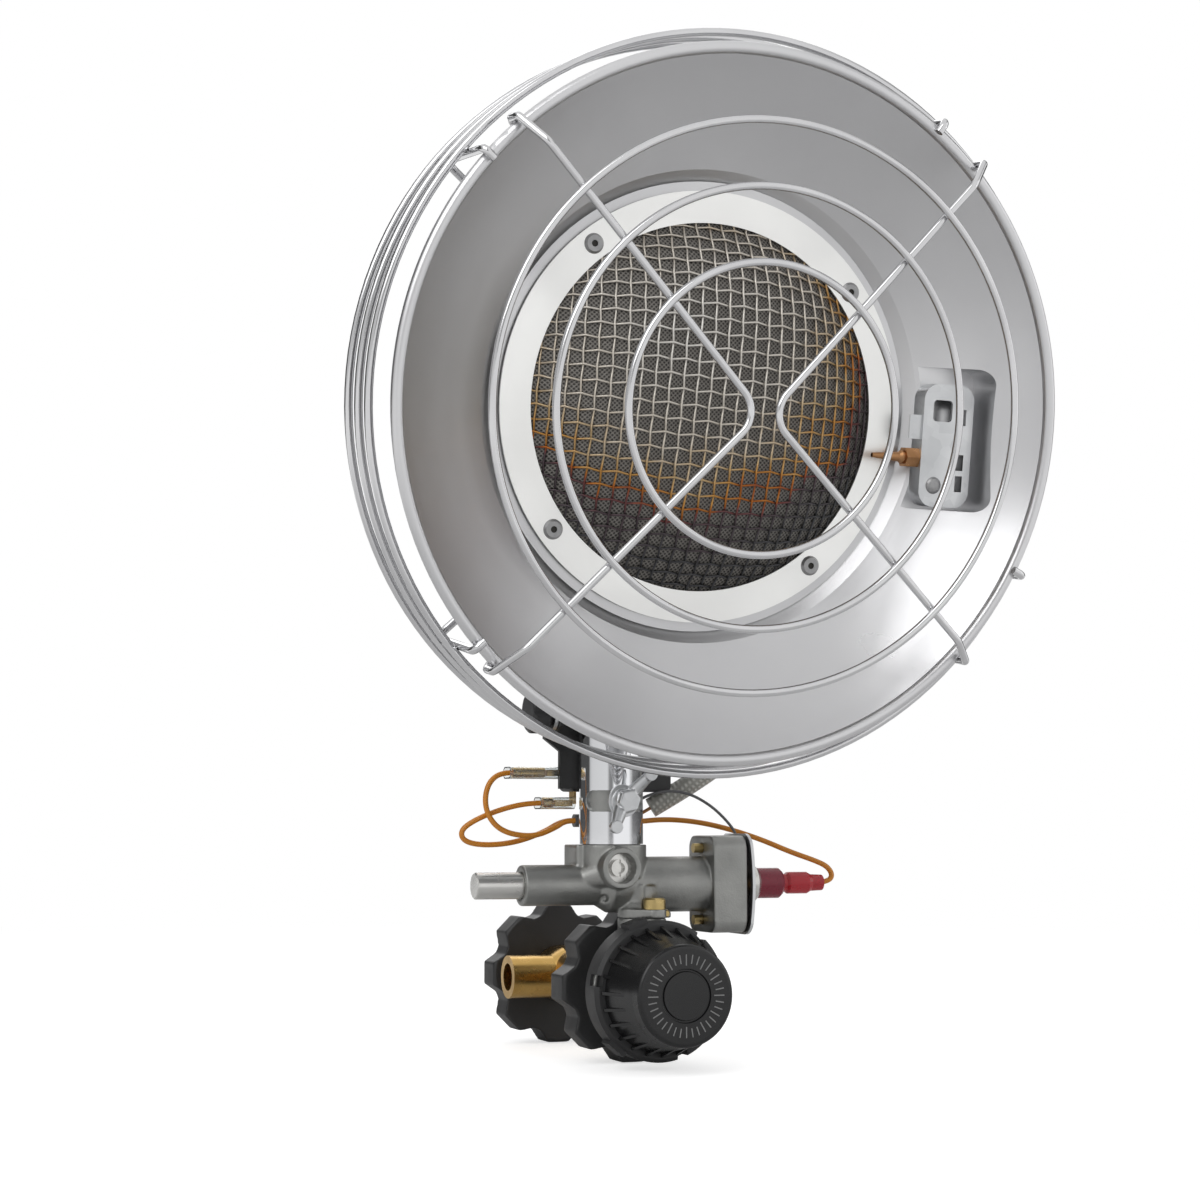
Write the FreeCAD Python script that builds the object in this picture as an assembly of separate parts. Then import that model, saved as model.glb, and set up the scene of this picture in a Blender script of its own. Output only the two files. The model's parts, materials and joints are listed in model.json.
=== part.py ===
import FreeCAD, Part
import math
import os

os.makedirs("parts", exist_ok=True)

# Portable propane heater that screws onto the valve of a gas cylinder.
# Millimetres, +Z up. The reflector faces -Y and the push button points to -X.
# Everything is drawn about the neck: its axis is x = y = 0, and the gas valve's axis is z = 0.
# The head is drawn level, about its tilt axis, and then tilted down to its stored pose.
# At the end every piece is moved so that the origin is at the tip of the inlet nipple.

# Fits
running_gap = 0.05
face_gap = 0.3
hug_gap = 0.1

# Reflector, in depths behind the plane of its rim
reflector_radius = 127.0
rim_roll = 2.2
sheet = 0.8
wall_sag_radius = 106.0
wall_sag_depth = 18.5
wall_foot_radius = 86.0
wall_foot_depth = 33.0
seat_radius = 82.0
face_depth = 34.5
pocket_inner = 84.0
pocket_outer = 110.0
pocket_low = -33.0
pocket_high = 22.0
pocket_floor = 32.0
pocket_corner = 7.0

# Burner
face_ring_radius = 78.5
opening_radius = 67.0
face_ring_sheet = 1.0
mesh_sheet = 0.6
mesh_edge = 70.0
outer_mesh_rise = 14.0
outer_mesh_crown = 66.0
inner_mesh_rise = 10.0
inner_mesh_crown = 63.5
seat_lip = 69.0
bowl_depth = 36.0
bowl_back_radius = 56.0
bowl_corner_radius = 76.0
rivet_circle = 72.7
rivet_count = 4
rivet_turn = 40.0
rivet_radius = 1.9
rivet_bore = 1.2
rivet_head = 3.7
rivet_head_height = 1.1
venturi_radius = 12.0
venturi_wall = 1.2
venturi_straight = 6.5
bell_radius = 16.0
bell_height = 12.0
bell_foot = 9.0

# Wire guards
guard_wire = 1.4
guard_stand_off = 14.0
guard_ring_radii = (50.4, 76.3, 98.7)
guard_shift = 2.0
guard_apex_gap = 3.0
guard_apex_height = -1.5
guard_apex_bend = 10.0
guard_bend_radius = 116.5
guard_left_angles = (134.3, -132.6)
guard_right_angles = (47.0, -42.4)
hook_bend = 2.4
hook_front = 2.0
hook_back = 6.8
hook_tip_radius = 125.2
rear_wire = 1.5
rear_ring_depths = (13.5, 27.0, 41.0)
rear_wire_angles = (141.5, 56.4, -25.0, -137.0)
rear_wire_foot = 117.0
rear_hook_front = 1.9

# Thermocouple and its bracket
bracket_inner = 84.5
bracket_outer = 105.5
bracket_low = -31.0
bracket_high = 15.0
bracket_front = 24.0
bracket_sheet = 1.0
bracket_corner = 6.0
thermocouple_height = -13.0
thermocouple_depth = 28.0
thermocouple_tip = 66.0
thermocouple_body = 78.0
thermocouple_radius = 2.6
thermocouple_tip_radius = 0.9

# Head carriage
head_rise = 122.0
rim_reach = 110.0
rest_tilt = 10.0
pivot_height = 68.0
pivot_bore = 3.1
ear_inner = 22.5
ear_sheet = 1.6
ear_radius = 9.0
arm_sheet = 1.5
arm_radius = 7.5
yoke_top = 62.0
lock_knob_radius = 8.5
lock_knob_width = 9.0
lock_knob_lobes = 6

# Neck
neck_radius = 12.7
neck_wall = 1.2
neck_foot = 16.1
neck_top = 62.0
slot_height = 33.0
slot_width = 8.4
slot_half_angle = 73.0
post_top = 46.0
gas_bore = 3.0
wing_thread = 2.4
wing_reach = 12.5
wing_angle = 54.6
wing_hub = 4.8
wing_forward = 24.0

# Tip-over switch
switch_left = -12.0
switch_right = 32.0
switch_front = 15.0
switch_depth = 13.0
switch_foot = 37.0
switch_top = 62.0
switch_corner = 2.5
switch_wall = 2.0
ball_radius = 4.0
ball_x = 22.0
ball_travel = 4.0
terminal_heights = (44.5, 32.4)
terminal_y = 20.0
sleeve_starts = (-14.0, -9.5)
sleeve_lengths = (23.0, 14.5)

# Gas valve
left_barrel_radius = 8.0
left_barrel_end = -38.0
right_barrel_radius = 11.0
right_barrel_start = -4.0
flange_start = 39.0
flange_end = 53.5
flange_half_width = 13.0
flange_half_height = 19.3
flange_corner = 5.0
flange_screw_height = 14.3
flange_screw_radius = 1.9
seat_block_radius = 14.0
seat_block_top = 15.8
boss_x = -1.5
boss_z = 6.8
boss_radius = 8.1
boss_front = -16.5
boss_bore = 5.8
boss_bore_depth = 8.0
chamber_radius = 7.3
chamber_start = 12.0
gasket_thickness = 0.4
cover_sheet = 1.2
cover_bulge = 1.6
magnet_stem = 4.0
magnet_nut_radius = 7.7
magnet_nut_width = 6.0
boot_radius = 6.1
boot_width = 11.0
connector_end = 88.0

# Push button
button_radius = 5.2
button_end = -57.0
button_travel = 6.0
button_bore = 6.6
button_bore_end = -14.0
button_lip = 1.6
plunger_radius = 2.4

# Regulator line, all on one axis parallel to Y
line_x = 11.4
line_z = -40.5
column_x = 9.2
column_y = -5.6
column_radius = 8.0
column_joint = -13.0
column_plate_sheet = 3.7
bolt_x = 12.6
bolt_y = -14.8
bolt_shank = 2.0
bolt_ear = 4.6
bolt_head_radius = 4.4
bolt_head_height = 4.4
tab_x = 18.9
tab_z = -11.2
tab_front = -11.5
tab_shank = 0.8
regulator_radius = 26.2
regulator_face = -19.5
regulator_back = -7.5
regulator_boss = 4.2
diaphragm_radius = 25.2
chamber_land = 21.8
cover_radius = 27.3
cover_face = -25.0
cover_sheet_front = 2.0
cover_notches = 3
cap_base_radius = 23.5
cap_front_radius = 19.5
cap_front = -49.5
cap_wall = 2.0
cap_flutes = 24
nipple_radius = 6.2
nut_radius = 30.3
nut_valley = 26.0
nut_lobes = 8
nut_thickness = 14.5
nut_skirt_radius = 22.0
nut_skirt_length = 9.0
nut_wall = 5.5
thread_radius = 16.6
regulator_nut_face = 4.6
tee_front = 13.6
tee_thread_end = 27.5
tee_radius = 12.0
tee_hex_start = 34.5
tee_hex_width = 25.0
tee_neck = 9.0
port_y = 73.5
port_end = -18.6
port_radius = 9.0
port_bore = 5.75
port_depth = 12.0
tank_nut_face = 92.5
nipple_shoulder = 13.0
nipple_tip = 118.5
seal_length = 3.0

# Leads
lead_radius = 1.1
sleeve_radius = 4.2
ground_radius = 0.6
splice_radius = 2.6
splice_left = -9.0
splice_right = 9.0
splice_y = 18.5
splice_z = 25.3


def vec(x, y, z):
    return FreeCAD.Vector(x, y, z)


AXIS = {"x": vec(1, 0, 0), "y": vec(0, 1, 0), "z": vec(0, 0, 1)}
UP = vec(0, 0, 1)


# A point at a distance along an axis, u and v being the other two coordinates in X, Y, Z order
def place(axis, along, u, v):
    if axis == "x":
        return vec(along, u, v)
    if axis == "y":
        return vec(u, along, v)
    return vec(u, v, along)


def rod(axis, radius, start, end, u=0.0, v=0.0):
    return Part.makeCylinder(radius, end - start, place(axis, start, u, v), AXIS[axis])


def tube(axis, outer, inner, start, end, u=0.0, v=0.0):
    return rod(axis, outer, start, end, u, v).cut(rod(axis, inner, start - 1, end + 1, u, v))


def box(x0, x1, y0, y1, z0, z1):
    return Part.makeBox(x1 - x0, y1 - y0, z1 - z0, vec(x0, y0, z0))


def fuse(first, *others):
    return first.multiFuse(list(others)).removeSplitter()


# A closed outline in the plane across or along an axis. A point with a third value "by" is passed by an arc.
def outline(points, spot):
    edges = []
    count = len(points)
    corners = [index for index in range(count) if len(points[index]) == 2]
    for order, index in enumerate(corners):
        following = corners[(order + 1) % len(corners)]
        start = spot(*points[index])
        end = spot(*points[following])
        between = (index + 1) % count
        if between == following:
            edges.append(Part.LineSegment(start, end).toShape())
        else:
            edges.append(Part.Arc(start, spot(*points[between][:2]), end).toShape())
    return Part.Face(Part.Wire(edges))


# A solid of revolution from (radius, along) points
def turned(axis, points, u=0.0, v=0.0):
    face = outline(points, lambda radius, along: place(axis, along, u + radius, v))
    return face.revolve(place(axis, 0, u, v), AXIS[axis], 360)


# A prism whose outline is given in the two coordinates across the axis
def prism(axis, points, start, end):
    face = outline(points, lambda a, b: place(axis, start, a, b))
    return face.extrude(AXIS[axis] * (end - start))


def polygon(sides, radius, u=0.0, v=0.0, turn=0.0):
    corners = []
    for index in range(sides):
        angle = math.radians(turn + 360.0 * index / sides)
        corners.append((u + radius * math.cos(angle), v + radius * math.sin(angle)))
    return corners


def rounded_box_outline(a0, a1, b0, b1, corner):
    skew = corner * (1 - math.sqrt(0.5))
    return [
        (a0 + corner, b0),
        (a1 - corner, b0),
        (a1 - skew, b0 + skew, "by"),
        (a1, b0 + corner),
        (a1, b1 - corner),
        (a1 - skew, b1 - skew, "by"),
        (a1 - corner, b1),
        (a0 + corner, b1),
        (a0 + skew, b1 - skew, "by"),
        (a0, b1 - corner),
        (a0, b0 + corner),
        (a0 + skew, b0 + skew, "by"),
    ]


def copies_about(shape, centre, axis, count, turn=0.0):
    made = []
    for index in range(count):
        copy = shape.copy()
        copy.rotate(centre, axis, turn + 360.0 * index / count)
        made.append(copy)
    return made


# Straight runs joined by tangent arcs, one bend radius for each inner point
def rounded_path(points, bends):
    edges = []
    start = points[0]
    for before, corner, after, bend in zip(points, points[1:], points[2:], bends):
        into = (corner - before).normalize()
        out = (after - corner).normalize()
        half_turn = into.getAngle(out) / 2
        setback = bend * math.tan(half_turn)
        first = corner - into * setback
        last = corner + out * setback
        bisector = (out - into).normalize()
        middle = corner + bisector * (bend / math.cos(half_turn) - bend)
        edges.append(Part.LineSegment(start, first).toShape())
        edges.append(Part.Arc(first, middle, last).toShape())
        start = last
    edges.append(Part.LineSegment(start, points[-1]).toShape())
    return Part.Wire(edges)


def swept(path, start, direction, radius):
    section = Part.Wire(Part.Circle(start, direction, radius).toShape())
    return path.makePipeShell([section], True, False)


def bent_wire(points, bends, radius):
    path = rounded_path(points, bends)
    return swept(path, points[0], points[1] - points[0], radius)


# A soft lead: each arc is as large as its two runs allow
def lead(name, points, radius):
    bends = []
    for before, corner, after in zip(points, points[1:], points[2:]):
        into = corner - before
        out = after - corner
        shorter = min(into.Length, out.Length)
        bends.append(0.45 * shorter / math.tan(into.getAngle(out) / 2))
    path = rounded_path(points, bends)
    solid = swept(path, points[0], points[1] - points[0], radius)
    expected = math.pi * radius**2 * path.Length
    print(name, "length %.0f" % path.Length, "volume ratio %.3f" % (solid.Volume / expected),
          "radii", [round(bend, 1) for bend in bends])
    return solid


# A point of the head: x, height over the dish axis and depth behind the rim plane, with the head level
def dish_point(x, height, depth):
    return vec(x, depth - rim_reach, head_rise + height)


def polar_point(radius, angle, depth):
    turn = math.radians(angle)
    return dish_point(radius * math.cos(turn), radius * math.sin(turn), depth)


# A revolved piece about the dish axis from (radius, depth) points
def dish_turned(points):
    moved = [(point[0], point[1] - rim_reach, *point[2:]) for point in points]
    return turned("y", moved, 0.0, head_rise)


seat_depth = face_depth + face_ring_sheet + 2 * mesh_sheet
slant = sheet * 0.72


def reflector_solid():
    bead_centre = reflector_radius - rim_roll
    front = [
        (bead_centre - 1.2, rim_roll + 0.6),
        (wall_sag_radius, wall_sag_depth, "by"),
        (wall_foot_radius, wall_foot_depth),
        (seat_radius, seat_depth),
        (seat_lip, seat_depth),
    ]
    back = [
        (seat_lip, seat_depth + sheet),
        (seat_radius + slant, seat_depth + sheet),
        (wall_foot_radius + slant, wall_foot_depth + slant),
        (wall_sag_radius + slant, wall_sag_depth + slant, "by"),
        (bead_centre - 1.2 + slant, rim_roll + 0.6 + slant),
    ]
    wall = dish_turned(front + back)
    bead = Part.makeTorus(bead_centre, rim_roll, dish_point(0, 0, rim_roll), AXIS["y"])
    hollow_front = dish_turned([(0, -5), (front[0][0], -5)] + front[:3] + [(wall_foot_radius, 60), (0, 60)])
    behind_front = box(pocket_inner - 9, pocket_outer + 9, -rim_reach, -rim_reach + 60,
                       head_rise + pocket_low - 9, head_rise + pocket_high + 9).cut(hollow_front)
    outer_outline = rounded_box_outline(pocket_inner - 6, pocket_outer, head_rise + pocket_low,
                                        head_rise + pocket_high, pocket_corner)
    inner_outline = rounded_box_outline(pocket_inner - 6, pocket_outer - sheet,
                                        head_rise + pocket_low + sheet,
                                        head_rise + pocket_high - sheet, pocket_corner - sheet)
    floor = pocket_floor - rim_reach
    tray_outer = prism("y", outer_outline, -rim_reach, floor + sheet)
    tray_inner = prism("y", inner_outline, -rim_reach, floor)
    tray = tray_outer.cut(tray_inner).common(behind_front)
    return fuse(wall.cut(tray_inner), tray, bead).cut(rivet_holes())


def rivet_spots():
    spots = []
    for index in range(rivet_count):
        spots.append(rivet_turn + 360.0 * index / rivet_count)
    return spots


def rivet_holes():
    holes = []
    for angle in rivet_spots():
        start = polar_point(rivet_circle, angle, face_depth - 5)
        holes.append(Part.makeCylinder(rivet_radius + running_gap, 20, start, AXIS["y"]))
    return Part.makeCompound(holes)


def face_ring():
    plate = dish_turned([(opening_radius, face_depth), (face_ring_radius, face_depth),
                         (face_ring_radius, face_depth + face_ring_sheet),
                         (opening_radius, face_depth + face_ring_sheet)])
    return plate.cut(rivet_holes())


# A thin spherical dome with a flat edge to clamp
def mesh_dome(edge_depth, rise, crown):
    ball = (crown**2 + rise**2) / (2 * rise)
    centre = dish_point(0, 0, edge_depth - rise + ball)
    outer = Part.makeSphere(ball, centre)
    inner = Part.makeSphere(ball - mesh_sheet, centre)
    edge = edge_depth - rim_reach
    cap = outer.cut(inner).common(rod("y", crown, edge - rise - 1, edge + mesh_sheet, 0, head_rise))
    flange = tube("y", mesh_edge, crown - mesh_sheet, edge, edge + mesh_sheet, 0, head_rise)
    return fuse(cap, flange)


def burner_bowl():
    flange_front = seat_depth + sheet
    back = flange_front + bowl_depth
    shell = dish_turned([
        (seat_lip, flange_front),
        (face_ring_radius, flange_front),
        (face_ring_radius, flange_front + sheet),
        (seat_lip + sheet, flange_front + sheet),
        (seat_lip + sheet, flange_front + 12),
        (seat_lip - 2.5, back - 7, "by"),
        (bowl_back_radius, back),
        (venturi_radius + hug_gap, back),
        (venturi_radius + hug_gap, back - sheet),
        (bowl_back_radius, back - sheet),
        (seat_lip - 2.9, back - 8, "by"),
        (seat_lip, flange_front + 12),
    ])
    return shell.cut(rivet_holes())


def face_rivets():
    made = []
    front = face_depth - rivet_head_height
    back = seat_depth + 2 * sheet
    for angle in rivet_spots():
        tail = polar_point(rivet_circle, angle, back)
        spot = polar_point(rivet_circle, angle, front)
        head = Part.makeCone(rivet_head - 0.8, rivet_head, rivet_head_height, spot, AXIS["y"])
        shank = Part.makeCylinder(rivet_radius, back - front + 0.8, spot, AXIS["y"])
        tail_head = Part.makeCylinder(rivet_head - 0.9, 0.8, tail, AXIS["y"])
        bore = Part.makeCylinder(rivet_bore, 20, polar_point(rivet_circle, angle, front - 1), AXIS["y"])
        made.append(fuse(head, shank, tail_head).cut(bore))
    return Part.makeCompound(made)


# The mixing tube: from the bowl's back, through a bend over the neck, down to an open bell mouth
def venturi_elbow():
    bowl_back = seat_depth + sheet + bowl_depth - rim_reach
    points = [
        vec(0, bowl_back - 4, head_rise),
        vec(0, 0, head_rise),
        vec(0, 0, bell_foot + bell_height),
    ]
    bend = (points[1] - points[0]).Length - venturi_straight
    outer = bent_wire(points, [bend], venturi_radius)
    inner_points = [points[0] - vec(0, 1, 0), points[1], points[2] - vec(0, 0, 1)]
    inner = bent_wire(inner_points, [bend], venturi_radius - venturi_wall)
    bell_top = bell_foot + bell_height
    inner_radius = venturi_radius - venturi_wall
    bell = turned("z", [
        (venturi_radius, bell_top + 2),
        (inner_radius, bell_top + 2),
        (inner_radius, bell_top),
        (bell_radius - venturi_wall - 2.2, bell_foot + 5.0, "by"),
        (bell_radius - venturi_wall, bell_foot),
        (bell_radius, bell_foot),
        (bell_radius - 2.2, bell_foot + 5.2, "by"),
        (venturi_radius, bell_top),
    ])
    return fuse(outer.cut(inner), bell)


def tilt_yoke():
    arms = []
    inner = ear_inner + ear_sheet + face_gap
    outer = inner + arm_sheet
    side = [
        (-arm_radius, 0),
        (0, -arm_radius, "by"),
        (arm_radius, 0),
        (arm_radius, yoke_top),
        (-arm_radius, yoke_top),
    ]
    for start in (-outer, inner):
        arms.append(prism("x", side, start, start + arm_sheet))
    bridge = box(-outer, outer, -arm_radius, arm_radius, yoke_top - arm_sheet, yoke_top)
    yoke = fuse(bridge, *arms)
    yoke = yoke.cut(rod("z", venturi_radius + hug_gap, yoke_top - 5, yoke_top + 5))
    collar = tube("z", venturi_radius + hug_gap + arm_sheet, venturi_radius + hug_gap,
                  yoke_top, yoke_top + 6)
    yoke = fuse(yoke, collar)
    return yoke.cut(rod("x", pivot_bore, -outer - 1, outer + 1))


def guard_ring(radius):
    centre = dish_point(guard_shift, 0, -guard_stand_off)
    return Part.makeTorus(radius, guard_wire, centre, AXIS["y"])


# A hook over the rim bead, from its tip behind the bead to the bend where the wire meets the grille
def front_hook(angle):
    side = reflector_radius + guard_wire + hug_gap
    plane = 2 * guard_wire - guard_stand_off
    return [
        polar_point(hook_tip_radius, angle, hook_back),
        polar_point(side, angle, hook_back),
        polar_point(side, angle, -hook_front),
        polar_point(guard_bend_radius, angle, plane),
    ]


def guard_v_wire(angles, apex_x):
    plane = 2 * guard_wire - guard_stand_off
    apex = dish_point(apex_x, guard_apex_height, plane)
    points = front_hook(angles[0]) + [apex] + front_hook(angles[1])[::-1]
    bends = [hook_bend, hook_bend, 6.0, guard_apex_bend, 6.0, hook_bend, hook_bend]
    return bent_wire(points, bends, guard_wire)


def rear_ring_radius():
    return reflector_radius + hug_gap + 3 * rear_wire


def rear_ring(depth):
    return Part.makeTorus(rear_ring_radius(), rear_wire, dish_point(0, 0, depth), AXIS["y"])


def rear_wires():
    made = []
    side = reflector_radius + hug_gap + rear_wire
    end = rear_ring_depths[-1] + 2 * rear_wire
    for angle in rear_wire_angles:
        points = [
            polar_point(hook_tip_radius - 1.5, angle, -rear_hook_front),
            polar_point(side, angle, -rear_hook_front),
            polar_point(side, angle, end),
            polar_point(rear_wire_foot, angle, end),
        ]
        made.append(bent_wire(points, [2.4, 5.0], rear_wire))
    return Part.makeCompound(made)


def thermocouple_bracket():
    low = head_rise + bracket_low
    high = head_rise + bracket_high
    front = bracket_front - rim_reach
    floor = pocket_floor - rim_reach
    outer = rounded_box_outline(bracket_inner, bracket_outer, low, high, bracket_corner)
    inner = rounded_box_outline(bracket_inner + bracket_sheet, bracket_outer - bracket_sheet,
                                low + bracket_sheet, high - bracket_sheet,
                                bracket_corner - bracket_sheet)
    shell = prism("y", outer, front, floor).cut(prism("y", inner, front + bracket_sheet, floor + 1))
    window = prism("y", rounded_box_outline(bracket_inner + 4, bracket_inner + 12, high - 14,
                                            high - 6, 1.5), front - 1, front + 3)
    slots = []
    for height in (high - 12, head_rise - 14, high - 37):
        slots.append(box(bracket_outer - 6, bracket_outer - 3, front - 1, front + 3,
                         height - 3, height + 3))
    bore = rod("x", thermocouple_radius + running_gap, bracket_inner - 2, bracket_inner + 3,
               thermocouple_depth - rim_reach, head_rise + thermocouple_height)
    tab = box(bracket_inner - 5, bracket_inner, front + 1, front + 1 + bracket_sheet,
              head_rise - 6, head_rise + 3)
    rivet_hole = rod("y", rivet_radius + running_gap, front - 1, floor + 4,
                     bracket_inner + 6, low + 8)
    return fuse(shell, tab).cut(Part.makeCompound([window, bore, rivet_hole] + slots))


def bracket_rivet():
    front = bracket_front - rim_reach
    floor = pocket_floor - rim_reach
    x = bracket_inner + 6
    z = head_rise + bracket_low + 8
    shank = rod("y", rivet_radius, front, floor, x, z)
    head = turned("y", [(0, front - 1.4), (1.0, front - 1.4), (2.5, front - 0.9, "by"), (3.2, front),
                        (0, front)], x, z)
    return fuse(shank, head)


def thermocouple():
    y = thermocouple_depth - rim_reach
    z = head_rise + thermocouple_height
    end = bracket_inner + 8
    return turned("x", [
        (0, thermocouple_tip),
        (thermocouple_tip_radius, thermocouple_tip),
        (1.9, thermocouple_body - 1),
        (thermocouple_radius, thermocouple_body),
        (thermocouple_radius, end),
        (0, end),
    ], y, z)


def thermocouple_nut():
    y = thermocouple_depth - rim_reach
    z = head_rise + thermocouple_height
    start = bracket_inner - 5.5
    nut = prism("x", polygon(6, 4.0, y, z), start, bracket_inner)
    return nut.cut(rod("x", thermocouple_radius + running_gap, start - 1, bracket_inner + 1, y, z))


# Chrome tube that turns on the post. The slot lets it swivel under the wing screw.
def neck_tube():
    inner = neck_radius - neck_wall
    body = tube("z", neck_radius, inner, neck_foot, neck_top)
    half = slot_width / 2
    round_angle = math.radians(slot_half_angle) - half / neck_radius
    chord = neck_radius * math.cos(round_angle)
    slot = box(-20, 20, -20, -chord, slot_height - half, slot_height + half)
    cuts = [slot]
    for side in (-1, 1):
        direction = vec(side * math.sin(round_angle), -math.cos(round_angle), 0)
        cuts.append(Part.makeCylinder(half, 20, vec(0, 0, slot_height), direction))
    return body.cut(Part.makeCompound(cuts))


def swivel_post():
    outer = neck_radius - neck_wall - running_gap
    post = turned("z", [
        (gas_bore, 8.0),
        (5.0, 8.0),
        (5.0, seat_block_top),
        (outer, seat_block_top),
        (outer, post_top - 1.5),
        (outer - 1.5, post_top),
        (gas_bore, post_top),
    ])
    return post.cut(rod("y", wing_thread + running_gap, -20, -gas_bore, 0, slot_height))


def gas_orifice():
    hexagon = prism("z", polygon(6, 5.6), post_top, post_top + 6)
    nozzle = turned("z", [(0, post_top + 6), (4.2, post_top + 6), (2.4, post_top + 14),
                          (0, post_top + 14)])
    stem = rod("z", gas_bore - running_gap, post_top - 8, post_top)
    bore = rod("z", 1.0, post_top - 9, post_top + 12)
    jet = rod("z", 0.4, post_top + 11, post_top + 15)
    return fuse(hexagon, nozzle, stem).cut(fuse(bore, jet))


# Rear plate behind the neck tube with two ears that carry the head's pivots
def tilt_bracket():
    back_outer = neck_radius + 1.2
    back_inner = neck_radius - 1.2
    half_low = 17.5
    outer = ear_inner + ear_sheet
    foot = switch_foot + 1
    shoulder = pivot_height - 10.0
    plate = prism("y", [
        (-half_low, foot),
        (half_low, foot),
        (half_low, shoulder - 5),
        (outer, shoulder),
        (outer, pivot_height - 3),
        (-outer, pivot_height - 3),
        (-outer, shoulder),
        (-half_low, shoulder - 5),
    ], back_inner, back_outer)
    ear_side = [
        (back_outer, shoulder),
        (back_outer, pivot_height + 2),
        (ear_radius * 0.7, pivot_height + ear_radius * 0.72, "by"),
        (0, pivot_height + ear_radius),
        (-ear_radius, pivot_height, "by"),
        (-ear_radius * 0.75, pivot_height - ear_radius * 0.66),
        (back_inner - 3, shoulder),
    ]
    ears = []
    for start in (-outer, ear_inner):
        ears.append(prism("x", ear_side, start, start + ear_sheet))
    bracket = fuse(plate, *ears)
    bracket = bracket.cut(rod("x", pivot_bore, -outer - 1, outer + 1, 0, pivot_height))
    return bracket.cut(rod("z", neck_radius, foot - 1, pivot_height + 20))


def pivot_rivet():
    inner = ear_inner
    outer = ear_inner + ear_sheet + face_gap + arm_sheet
    shank = rod("x", pivot_bore - running_gap, inner - 1.2, outer + face_gap + 1.2, 0, pivot_height)
    inner_head = rod("x", 5.0, inner - 1.2, inner, 0, pivot_height)
    outer_head = turned("x", [(0, outer + face_gap), (5.2, outer + face_gap),
                              (4.6, outer + face_gap + 1.4), (0, outer + face_gap + 1.8)],
                        0, pivot_height)
    return fuse(shank, inner_head, outer_head)


def tilt_knob():
    start = ear_inner + ear_sheet + face_gap + arm_sheet + face_gap
    end = start + lock_knob_width
    body = turned("x", [
        (0, -start),
        (6.0, -start),
        (lock_knob_radius, -start - 2.0),
        (lock_knob_radius, -end + 1.2),
        (lock_knob_radius - 1.2, -end),
        (0, -end),
    ], 0, pivot_height)
    flute = rod("x", 2.6, -end - 1, -start - 2.0, lock_knob_radius + 1.4, pivot_height)
    flutes = copies_about(flute, vec(0, 0, pivot_height), AXIS["x"], lock_knob_lobes)
    shank = rod("x", pivot_bore - running_gap, -start - 1, -ear_inner + 3.0, 0, pivot_height)
    return fuse(body.cut(Part.makeCompound(flutes)), shank)


def wing_screw():
    seat = neck_radius + hug_gap
    hub_end = seat + 6.0
    z = slot_height
    shank = rod("y", wing_thread, -hub_end, -6.0, 0, z)
    washer = rod("y", 6.4, -seat - 1.4, -seat, 0, z)
    hub = rod("y", wing_hub, -hub_end, -seat, 0, z)
    nose = prism("y", polygon(6, 4.6, 0, z, 12), -hub_end - 2.4, -hub_end)
    wings = []
    for side in (-1, 1):
        angle = math.radians(wing_angle)
        tip = vec(side * wing_reach * math.cos(angle), -wing_forward, z + side * wing_reach * math.sin(angle))
        root = vec(side * 2.6 * math.cos(angle), -hub_end + 2.6, z + side * 2.6 * math.sin(angle))
        span = tip - root
        wings.append(Part.makeCone(3.0, 1.9, span.Length, root, span))
        wings.append(Part.makeCylinder(2.5, 3.0, tip + vec(0, 1.2, 0), vec(0, -1, 0)))
    return fuse(shank, washer, hub, nose, *wings)


def switch_box():
    outer = rounded_box_outline(switch_left, switch_right, switch_foot, switch_top, switch_corner)
    back = switch_front + switch_depth
    case = prism("y", outer, switch_front, back)
    spine = rod("z", neck_radius + 2.6, switch_foot - 1, switch_top + 1)
    cage = rod("z", ball_radius + face_gap, switch_foot + switch_wall,
               switch_foot + switch_wall + 2 * ball_radius + ball_travel + face_gap,
               ball_x, switch_front + switch_depth / 2)
    lid_seat = prism("y", rounded_box_outline(switch_left + switch_wall, switch_right - switch_wall,
                                              switch_foot + switch_wall, switch_top - switch_wall, 1.5),
                     back - 1.5, back + 1)
    slots = []
    for height in terminal_heights[:1]:
        slots.append(box(switch_left - 1, switch_left + 5, terminal_y - 3.2, terminal_y + 3.2,
                         height - 0.45, height + 0.45))
    slots.append(box(switch_left + 2.55, switch_left + 3.45, terminal_y - 3.2, terminal_y + 3.2,
                     switch_foot - 1, switch_foot + 5))
    return case.cut(Part.makeCompound([spine, cage, lid_seat] + slots))


def switch_lid():
    back = switch_front + switch_depth
    plate = prism("y", rounded_box_outline(switch_left + switch_wall + hug_gap,
                                           switch_right - switch_wall - hug_gap,
                                           switch_foot + switch_wall + hug_gap,
                                           switch_top - switch_wall - hug_gap, 1.5),
                  back - 1.5, back)
    cage = rod("z", ball_radius + face_gap, switch_foot + switch_wall,
               switch_foot + switch_wall + 2 * ball_radius + ball_travel + face_gap,
               ball_x, switch_front + switch_depth / 2)
    return plate.cut(cage)


def tip_ball():
    centre = vec(ball_x, switch_front + switch_depth / 2, switch_foot + switch_wall + ball_radius + running_gap)
    return Part.makeSphere(ball_radius, centre)


def switch_terminals():
    upper = box(switch_left - 9, switch_left + 4.9, terminal_y - 3.15, terminal_y + 3.15,
                terminal_heights[0] - 0.4, terminal_heights[0] + 0.4)
    stem = box(switch_left + 2.6, switch_left + 3.4, terminal_y - 3.15, terminal_y + 3.15,
               terminal_heights[1] - 0.4, switch_foot + 4.9)
    foot = box(sleeve_starts[1] - 8, switch_left + 3.4, terminal_y - 3.15, terminal_y + 3.15,
               terminal_heights[1] - 0.4, terminal_heights[1] + 0.4)
    return Part.makeCompound([upper, fuse(stem, foot)])


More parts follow.
